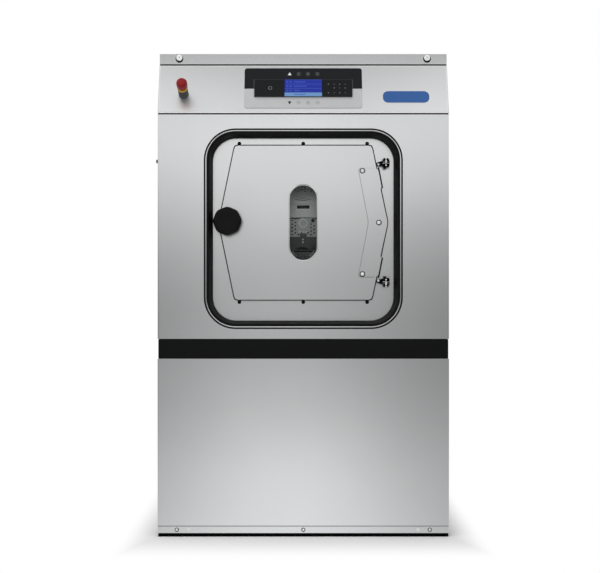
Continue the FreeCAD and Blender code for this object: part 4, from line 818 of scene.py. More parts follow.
# the door's six-sided outline, inset from its edge
def hexLoop(inset, shape):
    half, flat, wide = shape
    slant = hypot(wide - flat, half)
    top = half - inset
    reach = wide - inset * slant / half
    edge = reach - (wide - flat) * top / half
    corners = [(reach, 0), (edge, top), (-edge, top), (-reach, 0), (-edge, -top), (edge, -top)]
    loop = []
    for k, (start, end) in enumerate(zip(corners, corners[1:] + corners[:1])):
        count = 40 if k % 3 == 1 else 20
        dx, dz = end[0] - start[0], end[1] - start[1]
        loop += [(start[0] + dx * i / count, start[1] + dz * i / count) for i in range(count)]
    for k in (0, 20, 60, 80, 100, 140):  # corners eased
        loop[k] = tuple(loop[k][i] * 0.6 + (loop[k - 1][i] + loop[k + 1][i]) * 0.2 for i in (0, 1))
    return loop


# an outline with its corners eased: each is cut back by reach and bridged by a short curve
def easedOutline(corners, reach, steps=5):
    loop = []
    for k, corner in enumerate(corners):
        corner = Vector(corner)
        before, after = (Vector(corners[i % len(corners)]) - corner for i in (k - 1, k + 1))
        before *= min(reach / before.length, 0.45)
        after *= min(reach / after.length, 0.45)
        loop += [tuple(corner + before * (1 - i / steps) ** 2 + after * (i / steps) ** 2)
                 for i in range(steps + 1)]
    return loop


# the long rounded window's outline, with one point on each spoke of the door's outline
def windowLoop(spokes, halfWide, straight):
    loop = []
    for x, z in spokes:
        c, s = x / hypot(x, z), z / hypot(x, z)
        reach = halfWide / max(abs(c), 1e-6)
        if abs(s) * reach > straight:
            reach = abs(s) * straight + sqrt(max(halfWide ** 2 - (straight * c) ** 2, 0))
        loop.append((c * reach, s * reach))
    return loop


door = {"sealMm": ((480.0, 440.0, 14.0), 12.0), "domeMm": 9.6, "domeRiseMm": 5.0,
        "hexMm": (265.0, 235.2, 290.0), "windowMm": (81.0, 46.5, 55.5),
        "domeSpotsMm": ((201.0, 176.0), (257.0, 0.0), (201.0, -175.0)), "faceMm": -381.0, "backMm": -366.0}
knob = {"spotMm": (-256.0, 3.0), "outerMm": 48.2, "dipMm": 1.7, "backMm": -400.0, "frontMm": -437.0,
        "neckMm": (20.0, -18.7), "spindleMm": (8.0, -34.0), "tongueMm": (18.0, 34.5, 6.0),
        "tongueFaceMm": -382.0}
leaf = {"plateMm": ((187.0, 185.0), (222.0, 0.0), (187.0, -185.0), (253.6, -185.0), (266.6, -119.0),
                    (261.4, -117.0), (287.0, 0.0), (261.4, 117.0), (266.6, 119.0), (253.6, 185.0)),
        "easeMm": 12.0, "bedMm": ((186.0, 185.0), (221.0, 0.0), (186.0, -186.0), (247.2, -186.0),
                                  (286.8, 0.0), (247.2, 185.0)), "sheetMm": 2.0,
        "armMm": ((246.5, -1.0), (249.0, 3.0), (270.0, 10.0), (281.0, 12.0), (281.0, -9.0), (268.0, -9.0),
                  (259.0, -8.0), (254.0, -7.0)), "armRiseMm": 5.0,
        "glintMm": ((250.0, -0.5), (259.0, -0.5), (255.5, -8.0)),
        "gapShadeMm": ((267.4, 118.5), (271.6, 118.5), (258.2, 188.0), (254.2, 188.0))}
for name, turn in (("front", asIs), ("rear", halfTurn)):
    body = f"{name}_door"
    # pressed door with a dark edging that paints the shadow and dark reflection at its edge, a pocket for the
    # glass and a bright window rim
    face = door["faceMm"]
    deep = door["backMm"] - face
    spokes = hexLoop(0, door["hexMm"])
    straight, aperture, pocket = door["windowMm"]
    edging = ((0.8, deep), (0, deep - 0.8), (0, 1.0), (0.8, 0.3), (2.6, 0.3))
    rolled = [(2.7, 0.9)] + [(3.7 - cos(a), 1 - sin(a)) for a in quarter]
    inside = ((aperture + 1.0, 0), (aperture + 0.3, 0.3), (aperture, 1.0), (aperture, 1.9),
              (pocket + 0.4, 1.9), (pocket + 0.4, 8.1), (aperture, 8.1), (aperture, deep))
    rows = [(hexLoop(inset, door["hexMm"]), y) for inset, y in (*edging, *rolled)]
    rows += [(windowLoop(spokes, wide, straight), y) for wide, y in inside]
    standing = plane(axis + toBack * face * mm, toRight, toTop, toBack)
    bm = bmesh.new()
    stacked(bm, rows, standing, True, [1] * len(edging) + [0] * (len(rolled) + len(inside)))
    rim = [(aperture - 0.6, 1.8), (aperture - 0.6, -1.0), (aperture + 0.2, -1.7), (aperture + 1.8, -1.8),
           (aperture + 3.0, -1.1), (aperture + 3.4, 0.2)]
    stacked(bm, [(windowLoop(spokes, wide, straight), y) for wide, y in rim], standing, True, 2)
    finishPiece(f"{body}_panel_pressed", bm, [doorSteel, gasketRubber, brightSteel], body,
                [f"{name}_door_panel"], turn)
    dressed("front_window_glass", windowGlass, 0.5, turn=turn, name=f"{name}_window_pane", body=body,
            hides=[f"{name}_window_glass"])
    # hinge leaf bedded in sealant, with dark arms and barrels that paint a chrome hinge's dark reflections,
    # pale rings, strips and glints that are painted highlights, and black edge strips of painted shadow
    bm = bmesh.new()
    onFace = plane(axis + toBack * face * mm, toRight, toTop, -toBack)
    raisedOutline(bm, easedOutline(leaf["bedMm"], leaf["easeMm"]), onFace, -0.2, 0.9, 3)
    raisedOutline(bm, easedOutline(leaf["plateMm"], leaf["easeMm"]), onFace, 0.0, leaf["sheetMm"], 0, 0.5)
    for side in (-1, 1):
        centre = axis + Vector((0, 0, side * hinge["riseMm"] * mm))
        rise = leaf["armRiseMm"]
        onArm = plane(centre + toBack * face * mm, toRight, toTop * side, -toBack)
        raisedOutline(bm, easedOutline(leaf["armMm"], 1.5, 3), onArm, -0.2, rise, 1, 0.8)
        raisedOutline(bm, leaf["glintMm"], onArm, rise - 0.2, rise + 1.0, 2, 0.5)
        wide = hinge["knuckleMm"]
        pivot = centre + Vector((hinge["sideMm"], hinge["lineMm"], 0)) * mm
        lathe(bm, [(0, -13), (wide - 4, -13), (wide - 3, -12), (wide - 0.4, -8.5), (wide, -1),
                   (wide - 1, -0.6), (wide - 1, 0.6), (wide, 1), (wide, 9), (wide - 2.2, 13), (0, 13)],
              pivot, toTop * side, 32, 1)
        lathe(bm, [(wide - 1.4, -0.5), (wide + 0.1, -0.5), (wide + 0.1, 0.5), (wide - 1.4, 0.5)], pivot,
              toTop * side, 32, 2)
        lathe(bm, [(wide - 0.6, 2.0), (wide + 0.3, 2.2), (wide + 0.3, 8.2), (wide - 0.6, 8.4)], pivot,
              toTop * side, 32, 3)
        barrelBead(bm, centre, wide, side * 1.6, side * 11.6, 2)
        barrelBead(bm, centre, wide, side * -9.0, side * -4.0, 2)
        # black strip just outside the door's edge near each hinge: painted shadow in the gap
        strap = easedOutline([(x, side * z) for x, z in leaf["gapShadeMm"]], 1.5, 3)
        raisedOutline(bm, strap, onFace, -10.0, -0.6, 4, 0.6)
    finishPiece(f"{name}_hinge_leaf", bm, [doorSteel, blackSteel, nickelFace, sealRubber, gasketRubber], body,
                [f"{name}_hinge_plate"], turn, 40)
    # dome screws: pale domes that paint their highlights, on grey washers
    bm = bmesh.new()
    for x, z in door["domeSpotsMm"]:
        wide, rise = door["domeMm"], door["domeRiseMm"]
        spot = (x * mm, (face - leaf["sheetMm"]) * mm, axis.z + z * mm)
        lathe(bm, [(wide, 0), (wide, 0.9), (wide - 0.9, 1.6), (wide - 3.2, 1.8), (0, 1.8)], spot,
              -toBack, 32, 1)
        lathe(bm, [(wide - 3.4, 1.7), (wide - 3.5, 2.4), (wide - 4.3, 3.8), (wide - 6.2, 4.7), (0, rise)],
              spot, -toBack, 32)
    replaced = ["front_door_screws"] if name == "front" else []
    finishPiece(f"{name}_dome_screws", bm, [nickelFace, greyPlastic], body, replaced, turn, 40)
    size, lips = door["sealMm"]
    bm = bmesh.new()
    sealRows = [(0, 0), (0, 1.2), (2.0, 2.6), (4.4, 3.7), (7.0, 3.0), (8.4, 3.7), (10.2, 2.6), (lips, 1.2),
                (lips, 0)]
    frameRing(bm, sealRows, size, axis.z, door["backMm"], 8)
    finishPiece(f"{name}_door_seal_lips", bm, sealRubber, body, [f"{name}_door_seal"], turn, 50)
    # knob with a dished face, its neck, spindle and locking tongue
    spotX, spotZ = knob["spotMm"]
    centre = Vector((spotX * mm, 0, axis.z + spotZ * mm))
    bm = bmesh.new()
    front = knob["frontMm"] - knob["backMm"]
    rows = [(0.44, 0), (0.84, 0), (0.93, -1.2), (0.985, -4), (1.0, -8), (1.0, -23), (0.985, -28),
            (0.945, -32), (0.88, -34.8), (0.79, -36.4), (0.68, front), (0.61, front + 0.2),
            (0.57, front + 1.0), (0.3, front + 1.5), (0.02, front + 1.6)]
    rows = [(knobLoop(share, knob["outerMm"], knob["dipMm"]), y) for share, y in rows]
    knobBack = centre + toBack * knob["backMm"] * mm
    stacked(bm, rows, plane(knobBack, toRight, toTop, toBack))
    neck, end = knob["neckMm"]
    lathe(bm, [(neck - 2, 0.4), (neck, -2), (neck - 2.5, -10), (neck, end + 1.7), (neck, end), (0, end)],
          knobBack, -toBack, 40)
    spindle, tip = knob["spindleMm"]
    lathe(bm, [(spindle, end + 0.1), (spindle, tip + 0.6), (spindle - 0.6, tip), (0, tip)], knobBack,
          -toBack, 28, 1)
    wide, tall, sheet = knob["tongueMm"]
    half = wide / 2
    tongue = [(-half, 0), (half, 0), (half, tall - 4), (half - 4, tall), (-half + 4, tall), (-half, tall - 4)]
    onTongue = plane(centre + toBack * knob["tongueFaceMm"] * mm, toRight, toTop, -toBack)
    raisedOutline(bm, tongue, onTongue, 0.0, sheet, 1)
    finishPiece(f"{name}_knob_moulded", bm, [knobPlastic, zincPlate], f"{name}_knob", [f"{name}_knob"],
                turn, 40)
print("doors done")

# drum: x runs along it and s round it from the front, both in mm
drum = {"radiusMm": 315.0, "sheetMm": 3.0, "cellMm": (11.0, 6.0), "holeMm": (3.4, 2.9), "flapHalfMm": 218.0,
        "seamMm": (21.0, 19.0), "hatchMm": 190.0, "pinMm": (4.0, -243.247, 184.0), "lugsMm": (75.0, 16.0),
        "slotMm": (21.0, 49.0, 61.5), "slotLapMm": 5.0, "latchClearMm": 20.0, "eyeMm": (33.0, 10.0, 7.0),
        "smoothMm": (-100.0, -44.0), "marginMm": (200.0, 190.0), "middleMm": 84.0,
        "upperBareMm": (32.0, 112.0), "lowerBareMm": 16.0, "seatMm": (17.0, -27.0, 19.0), "lugReachMm": 9.5,
        "rootMm": -0.4, "shadeSheetMm": (-4.6, -3.4)}
root = drum["rootMm"]  # raised patches start a little inside the sheet


def drumSpot(x, s, radius):
    turn = s / drum["radiusMm"]
    return axis + Vector((x, -radius * cos(turn), radius * sin(turn))) * mm


# a bent sheet of small cells: plain, punched with an eight-sided hole, or left open
def punchedSheet(bm, half, low, high, kindAt):
    outer, inner = drum["radiusMm"], drum["radiusMm"] - drum["sheetMm"]
    columns, rows = round(2 * half / drum["cellMm"][0]), round((high - low) / drum["cellMm"][1])
    dx, ds = 2 * half / columns, (high - low) / rows
    corners = {}
    for i in range(columns + 1):
        for j in range(rows + 1):
            corners[i, j] = [bm.verts.new(drumSpot(-half + i * dx, low + j * ds, radius))
                             for radius in (outer, inner)]
    kinds = {}
    for i in range(columns):
        for j in range(rows):
            kinds[i, j] = kindAt(-half + (i + 0.5) * dx, low + (j + 0.5) * ds, (i + j) % 2)
    for (i, j), kind in kinds.items():
        if kind == "open":
            continue
        spots = [corners[i, j], corners[i + 1, j], corners[i + 1, j + 1], corners[i, j + 1]]
        sheets = [[spot[k] for spot in spots] for k in (0, 1)]
        if kind == "plain":
            for sheet in sheets:
                bm.faces.new(sheet)
        else:
            x, s = -half + (i + 0.5) * dx, low + (j + 0.5) * ds
            turns = [radians(45 * k - 112.5) for k in range(8)]
            wide, tall = drum["holeMm"]
            oval = [(x + wide * cos(t), s + tall * sin(t)) for t in turns]
            rims = [[bm.verts.new(drumSpot(a, b, radius)) for a, b in oval] for radius in (outer, inner)]
            for sheet, rim in zip(sheets, rims):
                for side in range(4):
                    after = sheet[(side + 1) % 4]
                    bm.faces.new((sheet[side], after, rim[2 * side + 1], rim[2 * side]))
                    bm.faces.new((after, rim[(2 * side + 2) % 8], rim[2 * side + 1]))
            bridge(bm, rims[0], rims[1])
        for side, (di, dj) in enumerate(((0, -1), (1, 0), (0, 1), (-1, 0))):
            if kinds.get((i + di, j + dj), "open") == "open":
                a, b = side, (side + 1) % 4
                bm.faces.new((sheets[0][a], sheets[0][b], sheets[1][b], sheets[1][a]))
    bmesh.ops.delete(bm, geom=[vert for vert in bm.verts if not vert.link_faces], context="VERTS")


def upperKind(x, s, odd):
    half, low, high = drum["slotMm"]
    if abs(x) < half and low < s < high:
        return "open"
    foot, bare = drum["upperBareMm"]
    side, end = drum["marginMm"]
    if abs(x) < drum["middleMm"] and s < bare or abs(x) > side or s < foot or s > end:
        return "plain"
    return "punched" if odd else "plain"


def lowerKind(x, s, odd):
    eyeX, eyeS, eyeMm = drum["eyeMm"]
    low, high = drum["smoothMm"]
    seatHalf, seatLow, seatHigh = drum["seatMm"]
    side, end = drum["marginMm"]
    if hypot(x, s) < drum["latchClearMm"] or hypot(x - eyeX, s - eyeS) < eyeMm + 4:
        return "plain"
    if abs(x) < seatHalf and seatLow < s < seatHigh or abs(x) < drum["middleMm"] and low < s < high:
        return "plain"
    if abs(x) > side or s > drum["lowerBareMm"] or s < -end:
        return "plain"
    return "punched" if odd else "plain"


# flap hinge pin with its two short lugs
def flapPin(bm, side):
    radius, pinY, pinRise = drum["pinMm"]
    half = drum["flapHalfMm"]
    lathe(bm, [(0, -half), (radius - 0.6, -half), (radius, -half + 1), (radius, half - 1),
               (radius - 0.6, half), (0, half)], axis + Vector((0, pinY, side * pinRise)) * mm, toRight,
          20)
    place, wide = drum["lugsMm"]
    for x in (-place, place):
        outline = boxLoop(pinY - drum["lugReachMm"], pinY, side * pinRise - radius, side * pinRise + radius)
        raisedOutline(bm, outline, plane(axis, toBack, toTop, toRight), x - wide / 2, x + wide / 2)


# a raised patch that follows the drum: outline in x and s, standing between two heights over the skin
def drumPatch(bm, outline, low, high, paint=0, chamfer=0.0):
    raisedOutline(bm, outline, lambda x, s, w: drumSpot(x, s, drum["radiusMm"] + w), low, high, paint,
                  chamfer)


def drumStud(bm, x, s, radius, high, paint, sides=20):
    drumPatch(bm, roundLoop(x, s, radius, sides), root, high, paint, min(high * 0.6, radius * 0.4))


# a bow round a middle, as wide and tall as given
def bow(x, s, wide, tall, turns):
    return [(x + wide * cos(t), s + tall * sin(t)) for t in turns]


# raised trim on the flaps: boxes are left, right, low and high, and bows are middle, width and height
trim = {"slotFrameMm": ((-46, 46, 24.0, 46.5), (-46, 46, 64.0, 70.5), (-46, -24, 46.5, 64.0),
                        (24, 46, 46.5, 64.0)), "pullShadeMm": (-2, 90, 31, 9),
        "pullLipMm": ((-2, 92, 33, 9), (-2, 93.5, 29, 6)), "tongueMm": (9, 21.2, 21, -17),
        "shadedMm": ((-52, -11, -44, 15), (11, 52, -44, 15)), "padMm": (-70, 70, -93.5, -46),
        "shadeTabMm": (-11, 12, -46.5, -34.5), "stripMm": (-70, 70, -99.5, -94.5),
        "scoopShadeMm": (-3, -89.5, 22, -8), "rivetsMm": ((-1, -54.5), (-1, -65.0)),
        "barsMm": (-10.5, -0.5, 9.5), "barMm": (3.4, -30.6, -27.6),
        "archMm": ((0, -79, 42, 42), (0, -79, 38.5, 38.5)), "archDeg": (200, 302), "archSweepDeg": 38,
        "seamMm": ((-200, -12, 16.2, 19.0), (30, 200, 16.2, 19.0))}
farEdge = drum["radiusMm"] * atan2(drum["hatchMm"], sqrt(drum["radiusMm"] ** 2 - drum["hatchMm"] ** 2))
bm = bmesh.new()
punchedSheet(bm, drum["flapHalfMm"], drum["seamMm"][0], farEdge, upperKind)
flapPin(bm, 1)
half, low, high = drum["slotMm"]
lap = drum["slotLapMm"]
lining = drum["shadeSheetMm"]  # dark sheet behind the slot and the holes next to the latch: painted shade of the drum's dark inside
drumPatch(bm, boxLoop(-half - lap, half + lap, low - lap, high + lap), *lining, 2)
for strip in trim["slotFrameMm"]:
    drumPatch(bm, boxLoop(*strip), root, 1.2, 3, 0.4)
smile = [radians(180 + 180 * k / 14) for k in range(15)]
# finger pull: a dark lens of painted shade for its hollow, and pale lips of painted highlight
drumPatch(bm, bow(*trim["pullShadeMm"], smile), root, 0.5, 2)
outer, inner = trim["pullLipMm"]
drumPatch(bm, bow(*outer, smile) + bow(*inner, smile)[::-1], root, 2.2, 1)
drumPatch(bm, bow(*trim["tongueMm"], smile), root, 1.6, 3, 0.5)
finishPiece("flap_upper_punched", bm, [paleSteel, nickelFace, gasketRubber, flapSteel], "flap_upper",
            ["flap_upper"])
bm = bmesh.new()
punchedSheet(bm, drum["flapHalfMm"], -farEdge, drum["seamMm"][1], lowerKind)
flapPin(bm, -1)
for lined in trim["shadedMm"]:
    drumPatch(bm, boxLoop(*lined), *lining, 2)
drumPatch(bm, boxLoop(*trim["padMm"]), root, 1.6, 3, 0.6)
# dark patch over the holes above the lower plate: painted shade
drumPatch(bm, boxLoop(*trim["shadeTabMm"]), root, 1.2, 3, 0.4)
drumPatch(bm, boxLoop(*trim["stripMm"]), root, 0.8, 2)
# dark lens low on the flap: painted shade for the hollow of a scoop
drumPatch(bm, bow(*trim["scoopShadeMm"], smile), 1.2, 1.9, 2)
# rivets and bars in pale paint that stands in for their highlights
for x, s in trim["rivetsMm"]:
    drumStud(bm, x, s, 3.2, 3.2, 1)
half, low, high = trim["barMm"]
for x in trim["barsMm"]:
    drumPatch(bm, boxLoop(x - half, x + half, low, high), root, 1.4, 1, 0.4)
outer, inner = trim["archMm"]
for start in trim["archDeg"]:  # thin pale lips low on the flap: painted highlights
    sweep = [radians(start + trim["archSweepDeg"] * k / 8) for k in range(9)]
    drumPatch(bm, bow(*outer, sweep) + bow(*inner, sweep)[::-1], root, 1.4, 1)
eyeX, eyeS, eyeMm = drum["eyeMm"]
for strip in trim["seamMm"]:  # dark strip along the seam
    drumPatch(bm, boxLoop(*strip), root, 0.7, 2)
drumStud(bm, eyeX, eyeS, eyeMm + 1.6, 1.0, 0)
drumStud(bm, eyeX, eyeS, eyeMm - 0.6, 1.4, 2)
finishPiece("flap_lower_punched", bm, [dullSteel, nickelFace, gasketRubber, sealRubber], "flap_lower",
            ["flap_lower"])

# the flaps' turning latch: a drop-shaped head with a pale rim that paints its glint, a spindle and a flat cam
latch = {"wideMm": 15.6, "topMm": 15.4, "dropMm": 16.4, "rimMm": 2.8, "headMm": (-315.3, -319.3),
         "spindleMm": 6.0, "footMm": -302.0, "camMm": (40.0, 14.0, 4.0)}


def dropLoop(shrink):
    loop = []
    for k in range(40):
        t = 2 * pi * k / 40
        rise = sin(t)
        taper = 1 + 0.34 * min(rise, 0)
        tall = latch["topMm"] if rise > 0 else latch["dropMm"]
        loop.append(((latch["wideMm"] - shrink) * cos(t) * taper, tall * rise - shrink * rise))
    return loop


bm = bmesh.new()
foot, head = latch["headMm"]
rim = latch["rimMm"]
rows = [(0.4, foot), (0.0, foot - 0.5), (0.0, head + 0.6), (0.6, head), (rim - 0.5, head), (rim, head + 0.4),
        (rim + 0.2, head + 2.2)]
stacked(bm, [(dropLoop(shrink), y) for shrink, y in rows], plane(axis, toRight, toTop, toBack), False,
        [0] * 5 + [1] * 2)
lathe(bm, [(0, head + 0.7), (4.2, head + 0.7, 6), (4.2, head + 2.3, 6), (5.4, head + 2.9), (5.4, head + 3.3)],
      axis, toBack, 24, 1)
spindle, end = latch["spindleMm"], latch["footMm"]
lathe(bm, [(spindle, foot - 0.3), (spindle, end - 3.6), (spindle, end)], axis, toBack, 28, 0)
length, wide, sheet = latch["camMm"]
cam = roundedLoop(length + wide - 0.2, wide, wide / 2 - 0.1, 8)
cam = [(max(x + length / 2, -wide / 2), z) for x, z in cam if x < length / 2 - 0.1]
cam += [(length, -wide / 2 + 2), (length, wide / 2 - 2)]
cam.sort(key=lambda p: atan2(p[1], p[0] - length / 2))
raisedOutline(bm, cam, plane(axis + toBack * end * mm, toRight, toTop, -toBack), 0.0, sheet, 0, 0.5)
finishPiece("drum_latch_turned", bm, [nickelFace, dullSteel], "drum_latch", ["drum_latch"])

dressed("drum_shell", holedSteel, 0.6)
dressed("drum_lifters", drumSteel, 6.0, steps=4)
dressed("drum_shafts", groundSteel, 1.5)
drumEnd = {"faceMm": 280.0, "sheetMm": 4.0, "radiusMm": 315.0, "ribsMm": ((256.0, 196.0), (166.0, 124.0))}
bm = bmesh.new()
for side in (-1, 1):
    reach, sheet = drumEnd["radiusMm"], drumEnd["sheetMm"]
    rows = [(0, sheet), (reach - 0.8, sheet), (reach, sheet - 0.8), (reach, 0.8), (reach - 0.8, 0)]
    for outer, inner in drumEnd["ribsMm"]:
        rows += [(outer + 5, 0), (outer, 1.6), (inner, 1.6), (inner - 5, 0)]
    lathe(bm, rows + [(0, 0)], axis + Vector((side * drumEnd["faceMm"] * mm, 0, 0)), toRight * side, 112)
finishPiece("drum_ends_pressed", bm, drumSteel, "drum", ["drum_ends"], crease=40)
print("drum done")

# belt drive: grooved pulleys, a ribbed motor and its belt
drive = {"startMm": 405.0, "widthMm": 34.0, "grooves": 4, "grooveMm": 5.0, "bigMm": 190.0, "smallMm": 45.0,
         "shaftMm": 14.0, "motorSpotMm": (190.0, 470.0), "motorMm": 90.0, "motorHalfMm": 150.0,
         "finsMm": (100.0, 8.0), "finCount": 44, "shaftRunMm": (82.0, 439.0), "feetMm": (-64.0, 64.0),
         "footHalfMm": 11.0, "webMm": ((35, 0), (62, 0), (64, 2), (64, 9), (78, 12), (148, 12), (158, 4),
                                       (160, 0)),
         "footMm": ((-80, -100), (80, -100), (80, -88), (58, -84), (46, -40), (-46, -40), (-58, -84),
                    (-80, -88)), "terminalMm": (96.0, 74.0, 8.0), "terminalRiseMm": (60.0, 112.0),
         "glandRiseMm": 86.0}


def groovedRim(radius):
    rows = []
    wide, count, deep = drive["widthMm"], drive["grooves"], radius - drive["grooveMm"]
    pitch = (wide - 4) / count
    for k in range(count):
        start = 2 + pitch * k
        rows += [(radius, start), (radius, start + 0.8), (deep, start + pitch * 0.42),
                 (deep, start + pitch * 0.58), (radius, start + pitch - 0.8)]
    return [(radius - 1, 0)] + rows + [(radius, wide - 2), (radius - 1, wide)]


bm = bmesh.new()
big, wide, shaft = drive["bigMm"], drive["widthMm"], drive["shaftMm"]
web = drive["webMm"]
rows = [*web, *groovedRim(big)] + [(reach, wide - x) for reach, x in reversed(web)]
lathe(bm, rows, axis + Vector((drive["startMm"] * mm, 0, 0)), toRight, 96)
finishPiece("drum_pulley_grooved", bm, ironCasting, "drum", ["drum_pulley"], crease=40)
motorY, motorZ = drive["motorSpotMm"]
motorSpot = Vector((0, motorY, motorZ)) * mm
bm = bmesh.new()
start, end = drive["shaftRunMm"]
lathe(bm, [(0, start), (shaft - 1, start), (shaft, start + 1), (shaft, end)], motorSpot, toRight, 32, 1)
rows = [(shaft, 0), (26, 0), (30, 3)] + groovedRim(drive["smallMm"])
rows += [(30, wide - 3), (20, wide - 1), (shaft, wide)]
lathe(bm, rows, motorSpot + Vector((drive["startMm"] * mm, 0, 0)), toRight, 64)
finishPiece("motor_pulley_grooved", bm, [ironCasting, groundSteel], "motor_rotor", ["motor_pulley"],
            crease=40)
bm = bmesh.new()
reach, half = drive["motorMm"], drive["motorHalfMm"]
finHalf, finDeep = drive["finsMm"]
fins = knobLoop(1.0, reach, finDeep, drive["finCount"], drive["finCount"] * 8)
sideways = plane(motorSpot, toBack, toTop, toRight)
raisedOutline(bm, fins, sideways, -finHalf, finHalf)
for side in (-1, 1):
    lathe(bm, [(reach - finDeep - 1, finHalf - 2), (reach - 2, finHalf + 2), (reach - 2, finHalf + 16),
               (reach - 6, finHalf + 24), (reach - 22, finHalf + 34), (40, finHalf + 38), (34, half - 5),
               (30, half), (16, half), (16, half - 20)], motorSpot, toRight * side, 64)
for x in drive["feetMm"]:
    raisedOutline(bm, drive["footMm"], sideways, x - drive["footHalfMm"], x + drive["footHalfMm"])
raisedOutline(bm, roundedLoop(*drive["terminalMm"], 5), plane(motorSpot, toRight, toBack, toTop),
              *drive["terminalRiseMm"], 0, 3.0)
lathe(bm, [(11, 44, 6), (11, 56, 6), (8, 57), (8, 62), (0, 62)],
      motorSpot + Vector((0, 0, drive["glandRiseMm"] * mm)), -toBack, 24, 1)
finishPiece("motor_finned", bm, [motorEnamel, zincPlate], "tub", ["motor"], crease=40)
dressed("drive_belt", beltRubber, 0.9)
print("drive done")

# tub, its bearings and cradle, each with the width that its edges are rolled by
for node, material, edgeMm in (("tub_shell", tubSteel, 1.0), ("tub_ends", tubSteel, 1.5),
                               ("bearing_housings", ironCasting, 3.0), ("bearings", groundSteel, 1.2),
                               ("tub_cradle", framePaint, 2.0), ("damper_rods", groundSteel, 1.0)):
    dressed(node, material, edgeMm)

# dampers and coil springs under the cradle
damper = {"sideMm": 372.0, "radiusMm": 28.0, "lowMm": 52.0, "highMm": 232.0}
bm = bmesh.new()
for side in (-1, 1):
    wide, low, high = damper["radiusMm"], damper["lowMm"], damper["highMm"]
    lathe(bm, [(0, low), (wide, low), (wide, low + 12), (wide - 2.5, low + 14), (wide - 2.5, high - 34),
               (wide - 0.4, high - 32), (wide, high - 30), (wide, high - 3), (wide - 3, high), (14, high),
               (11.5, high - 1.5), (11.5, high - 40)], (side * damper["sideMm"] * mm, 0, 0), toTop, 48)
finishPiece("damper_cylinders_turned", bm, framePaint, "cabinet", ["damper_cylinders"])
spring = {"sideMm": 372.0, "spreadMm": 200.0, "coilMm": 39.4, "wireMm": 5.5, "lowMm": 52.0, "highMm": 354.0,
          "turns": 8.0, "closed": 0.75, "stretchMm": (64.0, 342.0)}
bm = bmesh.new()
wire, turns, closed = spring["wireMm"], spring["turns"], spring["closed"]
low, high = spring["lowMm"] + wire, spring["highMm"] - wire
steps = int(turns * 36)
for sx in (-1, 1):
    for sy in (-1, 1):
        rings = []
        for k in range(steps + 1):
            turned = turns * k / steps
            share = min(max((turned - closed) / (turns - 2 * closed), 0), 1)
            flat = min(turned, closed) + min(max(turned - turns + closed, 0), closed)
            level = low + (high - low - 2 * wire * closed) * share + wire * flat
            angle = 2 * pi * turned
            out = Vector((cos(angle), sin(angle), 0))
            middle = Vector((sx * spring["sideMm"], sy * spring["spreadMm"], level)) + out * spring["coilMm"]
            wrap = [pi * i / 5 for i in range(10)]
            rings.append([bm.verts.new((middle + (out * cos(t) + toTop * sin(t)) * wire) * mm) for t in wrap])
        joinLoops(bm, rings)
coils = finishPiece("suspension_springs_coiled", bm, springSteel, None, ["suspension_springs"])
foot, head = spring["stretchMm"]
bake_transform(coils)
print("suspension done")

# drain hose: a corrugated sleeve with cuffs, held by two bands
hose = {"spotMm": (0.0, -120.0), "innerMm": 36.4, "outerMm": 42.2, "lowMm": 372.0, "highMm": 650.0,
        "cuffMm": 32.0, "ribMm": 12.0}
bm = bmesh.new()
inner, outer = hose["innerMm"], hose["outerMm"]
low, high, cuff = hose["lowMm"], hose["highMm"], hose["cuffMm"]
hoseSpot = Vector((*hose["spotMm"], 0)) * mm
rows = [(inner, low), (outer - 1, low), (outer - 1, low + cuff)]
count = round((high - low - 2 * cuff) / hose["ribMm"])
pitch = (high - low - 2 * cuff) / count
for k in range(count):
    start = low + cuff + pitch * k
    rows += [(outer - 2.6, start + pitch * 0.08), (outer - 0.4, start + pitch * 0.28),
             (outer, start + pitch * 0.5), (outer - 0.4, start + pitch * 0.72),
             (outer - 2.6, start + pitch * 0.92)]
rows += [(outer - 1, high - cuff), (outer - 1, high), (inner, high)]
lathe(bm, rows + [(inner, high - 1 - k * (high - low - 2) / 24) for k in range(25)], hoseSpot, toTop, 48)
dropCaps(bm)
sleeve = finishPiece("drain_hose_corrugated", bm, hoseRubber, None, ["drain_hose"])
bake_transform(sleeve)
for name, level, body in (("drain_hose_band_low", low + 12, "cabinet"),
                          ("drain_hose_band_high", high - 22, "tub")):
    bm = bmesh.new()
    lathe(bm, [(outer - 0.9, level), (outer + 0.2, level), (outer + 0.5, level + 1), (outer + 0.5, level + 9),
               (outer + 0.2, level + 10), (outer - 0.9, level + 10)], hoseSpot, toTop, 48)
    spot = hoseSpot + Vector((0, -(outer + 4) * mm, (level + 5) * mm))
    lathe(bm, [(0, -11), (4, -11), (4, 7), (5, 7.5, 6), (5, 11, 6), (0, 11)], spot, toRight, 20)
    finishPiece(name, bm, zincPlate, body)

# drain valve and its outlet, water inlets with threaded stubs, and the control box
dressed("drain_valve", greyPlastic, 2.0)
outlet = {"levelMm": 230.0, "wallMm": 430.0, "radiusMm": 38.0}
bm = bmesh.new()
wide, wall = outlet["radiusMm"], outlet["wallMm"]
outletSpot = (0, 0, outlet["levelMm"] * mm)
lathe(bm, [(wide - 0.6, wall + 0.2), (wide + 15, wall + 0.2), (wide + 15, wall + 3), (wide + 12, wall + 5),
           (wide + 3, wall + 5.5), (wide - 0.6, wall + 8)], outletSpot, toBack, 56)
for level in (wall + 36, wall + 50):
    barb = [(wide - 0.6, level), (wide + 0.4, level + 0.6), (wide + 1.8, level + 5), (wide - 0.6, level + 6)]
    lathe(bm, barb, outletSpot, toBack, 56)
dropCaps(bm)
finishPiece("drain_outlet_flange", bm, greyPlastic, "cabinet")
inlet = {"sidesMm": (-300.0, -208.0), "levelMm": 500.0, "wallMm": 424.0, "threadMm": 13.2, "endMm": 46.0,
         "pitchMm": 2.6, "bodyMm": 60.0, "coilMm": -39.0}
thread, end = inlet["threadMm"], inlet["endMm"]
